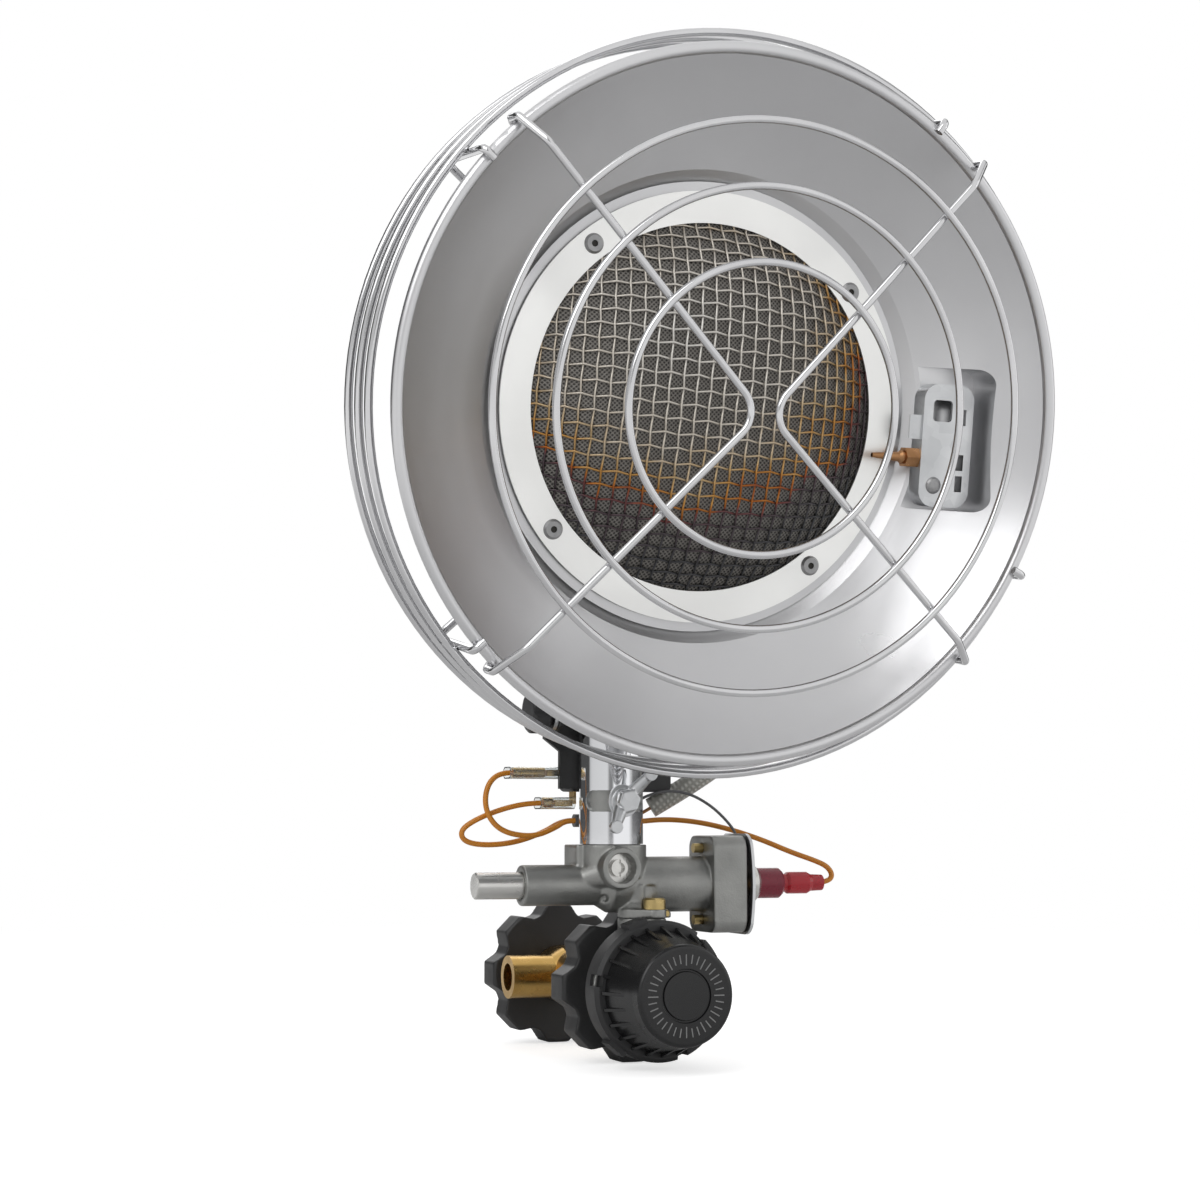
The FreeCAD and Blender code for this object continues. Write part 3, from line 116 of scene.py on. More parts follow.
def hexToLinear(text):
    channels = [int(text[at:at + 2], 16) / 255 for at in (0, 2, 4)]
    return [c / 12.92 if c <= 0.04045 else ((c + 0.055) / 1.055) ** 2.4 for c in channels] + [1.0]


def grey(level):
    return (level, level, level, 1.0)


# A pattern's size in millimetres as a texture scale
def scaleFor(sizeMm):
    return 1000 / sizeMm


def addNode(tree, kind, sockets=None, links=None, **settings):
    node = tree.nodes.new(kind)
    for key, value in settings.items():
        setattr(node, key, value)
    for key, value in (sockets or {}).items():
        node.inputs[key].default_value = value
    for key, source in (links or {}).items():
        tree.links.new(source, node.inputs[key])
    return node


def fillRamp(node, stops):
    marks = node.color_ramp.elements
    marks[0].position, marks[0].color = stops[0]
    marks[1].position, marks[1].color = stops[-1]
    for position, colour in stops[1:-1]:
        marks.new(position).color = colour


def startMaterial(name, sockets):
    material = bpy.data.materials.new(name)
    material.use_nodes = True
    tree = material.node_tree
    shader = tree.nodes["Principled BSDF"]
    for key, value in sockets.items():
        shader.inputs[key].default_value = value
    place = addNode(tree, "ShaderNodeTexCoord").outputs["Object"]
    return material, tree, shader, place


# Patches of a second tone, roughness that follows them, and a fine grain in the bump
toneNoise = {"patchDetail": 5.0, "grainDetail": 3.0, "smoothUpTo": 0.3, "roughFrom": 0.7, "bump": 0.6}


def addTone(tree, shader, place, tone):
    patches = addNode(tree, "ShaderNodeTexNoise",
                      {"Scale": scaleFor(tone["patchMm"]), "Detail": toneNoise["patchDetail"]},
                      {"Vector": place})
    colour = addNode(tree, "ShaderNodeMix", {6: hexToLinear(tone["first"]), 7: hexToLinear(tone["second"])},
                     {0: patches.outputs["Fac"]}, data_type="RGBA")
    rough = addNode(tree, "ShaderNodeMapRange",
                    {"From Min": toneNoise["smoothUpTo"], "From Max": toneNoise["roughFrom"],
                     "To Min": tone["rough"][0], "To Max": tone["rough"][1]},
                    {"Value": patches.outputs["Fac"]})
    grain = addNode(tree, "ShaderNodeTexNoise",
                    {"Scale": scaleFor(tone["grainMm"]), "Detail": toneNoise["grainDetail"]},
                    {"Vector": place})
    bump = addNode(tree, "ShaderNodeBump", {"Strength": toneNoise["bump"], "Distance": tone["bumpMm"] * mm},
                   {"Height": grain.outputs["Fac"]})
    tree.links.new(colour.outputs[2], shader.inputs["Base Color"])
    tree.links.new(rough.outputs["Result"], shader.inputs["Roughness"])
    tree.links.new(bump.outputs["Normal"], shader.inputs["Normal"])
    return {"colour": colour.outputs[2], "normal": bump.outputs["Normal"]}


# A plain finish: one patch tone, one grain
def plainFinish(name, sockets, tone):
    material, tree, shader, place = startMaterial(name, sockets)
    addTone(tree, shader, place, tone)
    return material


metal = {"Metallic": 1.0}


# Satin stainless sheet, spun on a former: fine rings about the dish axis, seen as a soft circular sheen
def spunSteel():
    spun = {"first": "D6D6D7", "second": "C6C6C8", "patchMm": 60, "grainMm": 9, "bumpMm": 0.05,
            "rough": (0.27, 0.36), "ringMm": 0.9, "ringDetail": 4.0, "ringBump": 0.25, "ringBumpMm": 0.03}
    material, tree, shader, place = startMaterial("spunStainless", metal)
    under = addTone(tree, shader, place, spun)
    level = addNode(tree, "ShaderNodeMapping", {"Location": [-value for value in dishPlace.translation]},
                    {"Vector": place})
    turned = addNode(tree, "ShaderNodeMapping", {"Rotation": (-headTilt, 0, 0)},
                     {"Vector": level.outputs["Vector"]})
    parts = addNode(tree, "ShaderNodeSeparateXYZ", None, {"Vector": turned.outputs["Vector"]})
    across = addNode(tree, "ShaderNodeCombineXYZ", None,
                     {"X": parts.outputs["X"], "Z": parts.outputs["Z"]})
    radius = addNode(tree, "ShaderNodeVectorMath", None, {0: across.outputs["Vector"]}, operation="LENGTH")
    rings = addNode(tree, "ShaderNodeTexNoise",
                    {"Scale": scaleFor(spun["ringMm"]), "Detail": spun["ringDetail"]},
                    {"W": radius.outputs["Value"]}, noise_dimensions="1D")
    bump = addNode(tree, "ShaderNodeBump",
                   {"Strength": spun["ringBump"], "Distance": spun["ringBumpMm"] * mm},
                   {"Height": rings.outputs["Fac"], "Normal": under["normal"]})
    tree.links.new(bump.outputs["Normal"], shader.inputs["Normal"])
    return material


# Woven heat-resisting wire: silver grey where it stays cool, straw, orange and violet brown where it glows
def heatTintedWire():
    wire = {"patchMm": 16, "patchDetail": 2.0, "driftMm": 16, "grainMm": 1.2, "bump": 0.4, "bumpMm": 0.05,
            "coolSpot": (-12, 28, 22), "stretch": 0.85, "hotAwayMm": 83,
            "tints": [(0.0, "DEDBD6"), (0.5, "CCC4B8"), (0.64, "BCA27A"), (0.71, "BA8A4C"),
                      (0.76, "A8622C"), (0.80, "744644"), (0.85, "54484C"), (1.0, "4C4C4E")]}
    material, tree, shader, place = startMaterial("heatTintedWire", {"Metallic": 0.85, "Roughness": 0.38})
    coolSpot = dishPoint(*wire["coolSpot"])
    level = addNode(tree, "ShaderNodeMapping",
                    {"Location": (-coolSpot.x * wire["stretch"], -coolSpot.y, -coolSpot.z),
                     "Scale": (wire["stretch"], 1, 1)}, {"Vector": place})
    patches = addNode(tree, "ShaderNodeTexNoise",
                      {"Scale": scaleFor(wire["patchMm"]), "Detail": wire["patchDetail"]}, {"Vector": place})
    drift = addNode(tree, "ShaderNodeMapRange",
                    {"To Min": -wire["driftMm"] * mm, "To Max": wire["driftMm"] * mm},
                    {"Value": patches.outputs["Fac"]})
    away = addNode(tree, "ShaderNodeVectorMath", None, {0: level.outputs["Vector"]}, operation="LENGTH")
    along = addNode(tree, "ShaderNodeMath", None, {0: away.outputs["Value"], 1: drift.outputs["Result"]},
                    operation="ADD")
    share = addNode(tree, "ShaderNodeMapRange", {"From Max": wire["hotAwayMm"] * mm},
                    {"Value": along.outputs["Value"]})
    ramp = addNode(tree, "ShaderNodeValToRGB", None, {"Fac": share.outputs["Result"]})
    fillRamp(ramp, [(at, hexToLinear(tint)) for at, tint in wire["tints"]])
    grain = addNode(tree, "ShaderNodeTexNoise", {"Scale": scaleFor(wire["grainMm"])}, {"Vector": place})
    bump = addNode(tree, "ShaderNodeBump", {"Strength": wire["bump"], "Distance": wire["bumpMm"] * mm},
                   {"Height": grain.outputs["Fac"]})
    tree.links.new(ramp.outputs["Color"], shader.inputs["Base Color"])
    tree.links.new(bump.outputs["Normal"], shader.inputs["Normal"])
    return material


# Fine dark wire cloth, woven on the slant, drawn at its real mesh of about a millimetre
def darkCloth():
    cloth = {"pitchMm": 1.15, "slant": 45, "bump": 0.8, "bumpMm": 0.25, "thread": "8F8B86", "gap": "242322"}
    material, tree, shader, place = startMaterial("fineDarkCloth", {"Metallic": 0.6, "Roughness": 0.5})
    turned = addNode(tree, "ShaderNodeMapping", {"Rotation": (-headTilt, 0, 0)}, {"Vector": place})
    slanted = addNode(tree, "ShaderNodeMapping",
                      {"Rotation": (0, math.radians(cloth["slant"]), 0),
                       "Scale": [scaleFor(cloth["pitchMm"])] * 3}, {"Vector": turned.outputs["Vector"]})
    parts = addNode(tree, "ShaderNodeSeparateXYZ", None, {"Vector": slanted.outputs["Vector"]})
    waves = []
    for side in ("X", "Z"):
        angle = addNode(tree, "ShaderNodeMath", {1: math.pi}, {0: parts.outputs[side]},
                        operation="MULTIPLY")
        wave = addNode(tree, "ShaderNodeMath", None, {0: angle.outputs["Value"]}, operation="SINE")
        height = addNode(tree, "ShaderNodeMath", None, {0: wave.outputs["Value"]}, operation="ABSOLUTE")
        waves.append(height.outputs["Value"])
    weave = addNode(tree, "ShaderNodeMath", None, {0: waves[0], 1: waves[1]}, operation="MULTIPLY")
    colour = addNode(tree, "ShaderNodeMix", {6: hexToLinear(cloth["thread"]), 7: hexToLinear(cloth["gap"])},
                     {0: weave.outputs["Value"]}, data_type="RGBA")
    bump = addNode(tree, "ShaderNodeBump", {"Strength": cloth["bump"], "Distance": cloth["bumpMm"] * mm},
                   {"Height": weave.outputs["Value"]}, invert=True)
    tree.links.new(colour.outputs[2], shader.inputs["Base Color"])
    tree.links.new(bump.outputs["Normal"], shader.inputs["Normal"])
    return material


# Zinc-coated sheet: pale grey with a faint crystal spangle
def galvanisedSheet():
    zinc = {"first": "D6D7D8", "second": "C6C8CA", "patchMm": 14, "grainMm": 1.5, "bumpMm": 0.04,
            "rough": (0.3, 0.45), "crystalMm": 5, "spangle": 0.2}
    material, tree, shader, place = startMaterial("galvanisedSheet", metal)
    under = addTone(tree, shader, place, zinc)
    crystals = addNode(tree, "ShaderNodeTexVoronoi", {"Scale": scaleFor(zinc["crystalMm"])},
                       {"Vector": place})
    shade = addNode(tree, "ShaderNodeRGBToBW", None, {"Color": crystals.outputs["Color"]})
    spangle = addNode(tree, "ShaderNodeMix", {0: zinc["spangle"]},
                      {6: under["colour"], 7: shade.outputs["Val"]}, data_type="RGBA",
                      blend_type="SOFT_LIGHT")
    tree.links.new(spangle.outputs[2], shader.inputs["Base Color"])
    return material


# Die-cast zinc as it leaves the tumbler: mid grey, fine sandy grain, a soft shine
def castZinc():
    cast = {"first": "A3A3A0", "second": "8B8C8A", "patchMm": 11, "grainMm": 0.7, "bumpMm": 0.16,
            "rough": (0.36, 0.5), "dentMm": 4.0, "dentDetail": 2.0, "dentBump": 0.5, "dentBumpMm": 0.35}
    material, tree, shader, place = startMaterial("castZinc", {"Metallic": 0.9})
    under = addTone(tree, shader, place, cast)
    dents = addNode(tree, "ShaderNodeTexNoise",
                    {"Scale": scaleFor(cast["dentMm"]), "Detail": cast["dentDetail"]}, {"Vector": place})
    bump = addNode(tree, "ShaderNodeBump",
                   {"Strength": cast["dentBump"], "Distance": cast["dentBumpMm"] * mm},
                   {"Height": dents.outputs["Fac"], "Normal": under["normal"]})
    tree.links.new(bump.outputs["Normal"], shader.inputs["Normal"])
    return material


# Turned light alloy: close rings from the lathe tool along the X axis
def turnedAlloy():
    alloy = {"first": "D6D5D2", "second": "C4C3C0", "patchMm": 8, "grainMm": 1.0, "bumpMm": 0.02,
             "rough": (0.2, 0.3), "ringMm": 0.5, "ringDetail": 1.0, "ringBump": 0.5, "ringBumpMm": 0.05}
    material, tree, shader, place = startMaterial("turnedAlloy", metal)
    under = addTone(tree, shader, place, alloy)
    parts = addNode(tree, "ShaderNodeSeparateXYZ", None, {"Vector": place})
    rings = addNode(tree, "ShaderNodeTexNoise",
                    {"Scale": scaleFor(alloy["ringMm"]), "Detail": alloy["ringDetail"]},
                    {"W": parts.outputs["X"]}, noise_dimensions="1D")
    bump = addNode(tree, "ShaderNodeBump",
                   {"Strength": alloy["ringBump"], "Distance": alloy["ringBumpMm"] * mm},
                   {"Height": rings.outputs["Fac"], "Normal": under["normal"]})
    tree.links.new(bump.outputs["Normal"], shader.inputs["Normal"])
    return material


# Glass-fibre braid: two sets of flat strands crossing round the sleeve
def glassBraid():
    braid = {"strandMm": 1.0, "bandWidth": 6.28, "slants": (40, -40), "waviness": 0.6, "bump": 0.9,
             "bumpMm": 0.4, "light": "E4E3DD", "dark": "A9A8A1"}
    material, tree, shader, place = startMaterial("glassBraid", {"Roughness": 0.75, "Sheen Weight": 0.3})
    lines = []
    for slant in braid["slants"]:
        turned = addNode(tree, "ShaderNodeMapping",
                         {"Rotation": (0, math.radians(slant), math.radians(slant / 2))}, {"Vector": place})
        line = addNode(tree, "ShaderNodeTexWave",
                       {"Scale": scaleFor(braid["strandMm"]) / braid["bandWidth"],
                        "Distortion": braid["waviness"]}, {"Vector": turned.outputs["Vector"]})
        lines.append(line.outputs["Fac"])
    cross = addNode(tree, "ShaderNodeMath", None, {0: lines[0], 1: lines[1]}, operation="MULTIPLY")
    colour = addNode(tree, "ShaderNodeMix", {6: hexToLinear(braid["dark"]), 7: hexToLinear(braid["light"])},
                     {0: cross.outputs["Value"]}, data_type="RGBA")
    bump = addNode(tree, "ShaderNodeBump", {"Strength": braid["bump"], "Distance": braid["bumpMm"] * mm},
                   {"Height": cross.outputs["Value"]})
    tree.links.new(colour.outputs[2], shader.inputs["Base Color"])
    tree.links.new(bump.outputs["Normal"], shader.inputs["Normal"])
    return material


finishes = {
    "reflector_steel": spunSteel(),
    # Bright rolled stainless, smooth to the eye with faint long smears
    "ring_steel": plainFinish("brightStainless", metal, {
        "first": "F8F8F6", "second": "F0F0EE", "patchMm": 30, "grainMm": 2, "bumpMm": 0.02,
        "rough": (0.3, 0.4)}),
    "mesh_steel": heatTintedWire(),
    "mesh_dark": darkCloth(),
    "galvanised": galvanisedSheet(),
    # Bright chrome on drawn wire: mirror-like, with the slight waviness of the wire under it
    "wire_chrome": plainFinish("chromeWire", metal, {
        "first": "DADADB", "second": "C2C2C4", "patchMm": 22, "grainMm": 9, "bumpMm": 0.03,
        "rough": (0.08, 0.14)}),
    # Polished chrome on tube
    "tube_chrome": plainFinish("chromeTube", metal, {
        "first": "EDEEF0", "second": "E2E3E6", "patchMm": 30, "grainMm": 12, "bumpMm": 0.04,
        "rough": (0.05, 0.09)}),
    "zinc_casting": castZinc(),
    "machined_alloy": turnedAlloy(),
    "glass_braid": glassBraid(),
    # Cast and turned brass, slightly dulled by handling
    "brass": plainFinish("handledBrass", metal, {
        "first": "D2B070", "second": "B8924F", "patchMm": 9, "grainMm": 1.5, "bumpMm": 0.03,
        "rough": (0.2, 0.34)}),
    # Yellow chromate over zinc: patchy straw
    "zinc_yellow": plainFinish("yellowZinc", metal, {
        "first": "C9B27C", "second": "AF9A68", "patchMm": 3, "grainMm": 0.8, "bumpMm": 0.03,
        "rough": (0.25, 0.4)}),
    # Bare copper browned by heat
    "copper": plainFinish("brownedCopper", metal, {
        "first": "BC8E66", "second": "85603F", "patchMm": 5, "grainMm": 1.0, "bumpMm": 0.03,
        "rough": (0.25, 0.4)}),
    # Glass-filled nylon, moulded with a fine matt texture
    "black_plastic": plainFinish("mouldedNylon", {"IOR": 1.53}, {
        "first": "1E1E1F", "second": "2A2A2B", "patchMm": 12, "grainMm": 0.6, "bumpMm": 0.08,
        "rough": (0.42, 0.56)}),
    # Glossy moulded cap, nearly flat black
    "black_gloss": plainFinish("glossMoulding", {"IOR": 1.5}, {
        "first": "151516", "second": "1C1C1D", "patchMm": 20, "grainMm": 2.5, "bumpMm": 0.02,
        "rough": (0.2, 0.3)}),
    # Black stove paint on sheet
    "black_paint": plainFinish("stovePaint", {"IOR": 1.5}, {
        "first": "1C1C1C", "second": "262626", "patchMm": 10, "grainMm": 1.0, "bumpMm": 0.05,
        "rough": (0.35, 0.5)}),
    # Nitrile rubber, matt with a dusty grain
    "rubber_black": plainFinish("nitrileRubber", {"IOR": 1.52}, {
        "first": "202020", "second": "2B2B2B", "patchMm": 6, "grainMm": 0.8, "bumpMm": 0.04,
        "rough": (0.6, 0.75)}),
    # Soft vinyl on boots, connectors and leads, in four colours: smooth with a waxy shine
    "red_vinyl": plainFinish("redVinyl", {"IOR": 1.53, "Subsurface Weight": 0.05}, {
        "first": "BE1E2D", "second": "A51525", "patchMm": 6, "grainMm": 1.5, "bumpMm": 0.05,
        "rough": (0.25, 0.36)}),
    "dark_red_vinyl": plainFinish("darkRedVinyl", {"IOR": 1.53}, {
        "first": "8C1230", "second": "720D28", "patchMm": 6, "grainMm": 1.5, "bumpMm": 0.05,
        "rough": (0.22, 0.34)}),
    "orange_vinyl": plainFinish("orangeVinyl", {"IOR": 1.53}, {
        "first": "DC8E26", "second": "C87C1C", "patchMm": 8, "grainMm": 1.2, "bumpMm": 0.05,
        "rough": (0.3, 0.42)}),
    "grey_vinyl": plainFinish("greyVinyl", {"IOR": 1.53}, {
        "first": "6A6B6D", "second": "57585A", "patchMm": 8, "grainMm": 1.2, "bumpMm": 0.05,
        "rough": (0.3, 0.45)}),
    # Clear heat-shrink sleeve: the metal shows through with a milky edge
    "clear_vinyl": plainFinish("clearSleeve", {"IOR": 1.45, "Transmission Weight": 0.92}, {
        "first": "F4F6F6", "second": "E4E8E8", "patchMm": 6, "grainMm": 2.0, "bumpMm": 0.1,
        "rough": (0.06, 0.16)}),
    # Pressed fibre sheet, dark and matt
    "gasket": plainFinish("pressedFibre", {"IOR": 1.5}, {
        "first": "2A2A28", "second": "38362F", "patchMm": 3, "grainMm": 0.5, "bumpMm": 0.1,
        "rough": (0.7, 0.85)}),
    # Drawn spring wire, bare and a little dull
    "spring_steel": plainFinish("springWire", metal, {
        "first": "A8A9AB", "second": "8E8F92", "patchMm": 5, "grainMm": 1.0, "bumpMm": 0.03,
        "rough": (0.28, 0.4)}),
}

# Hollow rivets of dull aluminium, a shade darker than the ring that they clamp
rivetFinish = plainFinish("dullAluminium", metal, {
    "first": "A9A9A9", "second": "8F8F90", "patchMm": 2, "grainMm": 0.8, "bumpMm": 0.03,
    "rough": (0.3, 0.42)})

for nodeName, node in nodes.items():
    finish = rivetFinish if nodeName == "head_rivets" else finishes[slotOf[nodeName]]
    for materialSlot in node.material_slots:
        materialSlot.material = finish
print("finishes set on", len(nodes), "nodes")


# Pieces

def linkPiece(name, data):
    piece = bpy.data.objects.new(name, data)
    bpy.context.scene.collection.objects.link(piece)
    return piece


# A new piece takes its finish from the CAD node that it stands for, and its body too, unless it lies between
# bodies: then it stays fixed in place on no body
def standFor(piece, nodeName, blendTo=None):
    piece.data.materials.clear()
    piece.data.materials.append(finishes[slotOf[nodeName]])
    if blendTo is None:
        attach(piece, bodyOf[nodeName])
    else:
        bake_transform(piece)
    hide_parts(nodeName)
    return piece


def meshFrom(shape, name):
    mesh = bpy.data.meshes.new(name)
    shape.to_mesh(mesh)
    shape.free()
    return mesh


# A round wire or tube, drawn as a curve
def tubeCurve(name, radiusMm, sides):
    curve = bpy.data.curves.new(name, "CURVE")
    curve.dimensions = "3D"
    curve.bevel_depth = radiusMm * mm
    curve.bevel_resolution = sides
    curve.use_fill_caps = True
    return curve


def addSpline(curve, kind, places):
    spline = curve.splines.new(kind)
    spline.points.add(len(places) - 1)
    for point, place in zip(spline.points, places):
        point.co = (*place, 1.0)
    return spline


# The curve made into a mesh piece of its own
def meshPiece(name, curve):
    line = linkPiece(name + "_line", curve)
    bpy.context.view_layer.update()
    data = bpy.data.meshes.new_from_object(line.evaluated_get(bpy.context.evaluated_depsgraph_get()))
    bpy.data.objects.remove(line)
    data.shade_smooth()
    return linkPiece(name, data)


def nodeCorners(nodeName):
    places = [nodes[nodeName].matrix_world @ vertex.co for vertex in nodes[nodeName].data.vertices]
    return (Vector([min(place[axis] for place in places) for axis in range(3)]),
            Vector([max(place[axis] for place in places) for axis in range(3)]))


# Outer mesh: crimped wires both ways over a dome, woven over and under
wovenDome = {"pitch": 5.3, "wire": 0.42, "sides": 1, "crimp": 0.62, "sway": 0.42, "turn": -2.0,
             "reach": 69.3, "margin": 0.3, "edgeDepth": 35.75, "rise": 18.0, "crown": 66.5, "shoulder": 3.6,
             "step": 0.25, "flatMiddle": 0.01}


# Nearly flat in the middle, with a shoulder that turns down steeply to the clamped edge
def domeDepth(across):
    share = min(across / wovenDome["crown"], 1.0)
    return wovenDome["edgeDepth"] - wovenDome["rise"] * (1 - share ** wovenDome["shoulder"])


# The net is draped, so its pitch is kept along the dome and closes up where the dome turns down
def drapeTable():
    table, arc, across = [(0.0, 0.0)], 0.0, 0.0
    while across < wovenDome["reach"]:
        arc += math.hypot(wovenDome["step"], domeDepth(across + wovenDome["step"]) - domeDepth(across))
        across += wovenDome["step"]
        table.append((arc, across))
    return table


def draped(table, flat):
    arc = flat.length
    if arc < wovenDome["flatMiddle"]:
        return flat
    for near, far in zip(table, table[1:]):
        if arc <= far[0]:
            break
    across = near[1] + (far[1] - near[1]) * min((arc - near[0]) / (far[0] - near[0]), 1.0)
    return flat * (across / arc)


def wovenWires():
    curve = tubeCurve("wovenDome", wovenDome["wire"], wovenDome["sides"])
    pitch = wovenDome["pitch"]
    turn = Matrix.Rotation(math.radians(wovenDome["turn"]), 2)
    table = drapeTable()
    reach = table[-1][0] - wovenDome["margin"]
    count = int(reach / pitch)
    for crossways, side in ((False, 1), (True, -1)):
        for row in range(-count, count + 1):
            beside = row * pitch
            half = math.sqrt(reach ** 2 - beside ** 2)
            steps = int(half / pitch * 2)
            stops = [-half] + [step * pitch / 2 for step in range(-steps, steps + 1)] + [half]
            places = []
            for along in stops:
                swing = math.cos(math.pi * along / pitch) * (-1) ** row
                swayed = beside + swing * wovenDome["sway"]
                flat = turn @ (Vector((swayed, along)) if crossways else Vector((along, swayed)))
                spot = draped(table, flat)
                lift = swing * side * wovenDome["crimp"]
                places.append(dishPoint(spot.x, spot.y, domeDepth(spot.length) - lift))
            addSpline(curve, "POLY", places).use_smooth = True
    return linkPiece("woven_dome", curve)


# Fine cloth behind the net, a thin closed shell of the same shape, with its rings closer at the shoulder
clothShell = {"gap": 0.65, "sink": 1.0, "sheet": 0.6, "wideStep": 12.0, "wideRings": 3, "closeStep": 2.4,
              "closeRings": 13, "edge": 69.9, "steps": 96}


def clothDepth(across):
    share = min(across / wovenDome["crown"], 1.0)
    return domeDepth(across) + clothShell["gap"] + clothShell["sink"] * (1 - share ** 2)


def clothDome():
    wide = [clothShell["wideStep"] * step for step in range(clothShell["wideRings"] + 1)]
    close = [wide[-1] + clothShell["closeStep"] * step for step in range(1, clothShell["closeRings"] + 1)]
    outline = [(across, clothDepth(across)) for across in wide + close + [clothShell["edge"]]]
    outline += [(across, depth + clothShell["sheet"]) for across, depth in reversed(outline)]
    shape = bmesh.new()
    verts = [shape.verts.new((across * mm, depth * mm, 0)) for across, depth in outline]
    edges = [shape.edges.new(pair) for pair in zip(verts, verts[1:])]
    bmesh.ops.spin(shape, geom=verts + edges, axis=(0, 1, 0), cent=(0, 0, 0), angle=math.tau,
                   steps=clothShell["steps"], use_merge=True)
    bmesh.ops.remove_doubles(shape, verts=shape.verts, dist=weld)
    bmesh.ops.recalc_face_normals(shape, faces=shape.faces)
    bmesh.ops.transform(shape, matrix=dishPlace, verts=shape.verts)
    mesh = meshFrom(shape, "cloth_dome")
    mesh.shade_smooth()
    return linkPiece("cloth_dome", mesh)


standFor(wovenWires(), "outer_mesh")
standFor(clothDome(), "inner_mesh")
print("woven dome made")


# Painted shade in the open bores of the face ring's eyelets: dark plugs in the gasket finish stand for the
# shade down each bore
eyelet = {"circle": 72.7, "first": 40, "count": 4, "radius": 1.2, "front": 33.85, "length": 5.0,
          "segments": 24}


def boreShadePlugs():
    shape = bmesh.new()
    for turn in range(eyelet["count"]):
        angle = math.radians(eyelet["first"] + 360 / eyelet["count"] * turn)
        spot = Vector((eyelet["circle"] * math.cos(angle), eyelet["front"] + eyelet["length"] / 2,
                       eyelet["circle"] * math.sin(angle))) * mm
        place = dishPlace @ Matrix.Translation(spot) @ Matrix.Rotation(math.pi / 2, 4, "X")
        bmesh.ops.create_cone(shape, cap_ends=True, segments=eyelet["segments"],
                              radius1=eyelet["radius"] * mm, radius2=eyelet["radius"] * mm,
                              depth=eyelet["length"] * mm, matrix=place)
    mesh = meshFrom(shape, "eyelet_bore_shade")
    # The plugs take the dark gasket finish as painted shade down each open bore
    mesh.materials.append(finishes["gasket"])
    piece = linkPiece("eyelet_bore_shade", mesh)
    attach(piece, bodyOf["face_ring"])


boreShadePlugs()


# Plain ticks in a ring on the vent cap's face, printed in pale grey ink
ticks = {"count": 36, "inner": 12.2, "outer": 15.6, "longInner": 11.4, "longEvery": 3, "width": 0.45,
         "proud": 0.03, "sunk": 0.1,
         "ink": {"first": "8E8E8E", "second": "7A7A7A", "patchMm": 2, "grainMm": 0.5, "bumpMm": 0.01,
                 "rough": (0.5, 0.6)}}


def tickRing():
    low, high = nodeCorners("vent_cap")
    deep = ticks["proud"] + ticks["sunk"]
    face = Matrix.Translation(((low.x + high.x) / 2, low.y + (ticks["sunk"] - deep / 2) * mm,
                               (low.z + high.z) / 2))
    shape = bmesh.new()
    for turn in range(ticks["count"]):
        inner = ticks["longInner"] if turn % ticks["longEvery"] == 0 else ticks["inner"]
        spoke = Matrix.Rotation(math.tau * turn / ticks["count"], 4, "Y")
        out = Matrix.Translation(((inner + ticks["outer"]) / 2 * mm, 0, 0))
        size = Matrix.Diagonal(((ticks["outer"] - inner) * mm, deep * mm, ticks["width"] * mm, 1))
        bmesh.ops.create_cube(shape, size=1, matrix=face @ spoke @ out @ size)
    mesh = meshFrom(shape, "tick_ring")
    mesh.materials.append(plainFinish("paleInk", {"IOR": 1.5}, ticks["ink"]))
    piece = linkPiece("tick_ring", mesh)
    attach(piece, bodyOf["vent_cap"])


tickRing()


# Return spring of the push button: an open coil at its rest length; the real spring shortens as the button
# goes in
coil = {"turns": 7.5, "wire": 0.5, "sides": 2, "steps": 20, "travel": 6.0}


def buttonCoil():
    low, high = nodeCorners("button_spring")
    radius = (high.z - low.z) / 2 - coil["wire"] * mm
    count = int(coil["turns"] * coil["steps"])
    places = []
    for at in range(count + 1):
        angle = math.tau * at / coil["steps"]
        across = low.x + coil["wire"] * mm + (high.x - low.x - 2 * coil["wire"] * mm) * at / count
        places.append((across, (low.y + high.y) / 2 + radius * math.cos(angle),
                       (low.z + high.z) / 2 + radius * math.sin(angle)))
    curve = tubeCurve("button_coil", coil["wire"], coil["sides"])
    addSpline(curve, "POLY", places)
    piece = standFor(meshPiece("button_coil", curve), "button_spring")
    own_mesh(piece)


buttonCoil()
print("small pieces made")


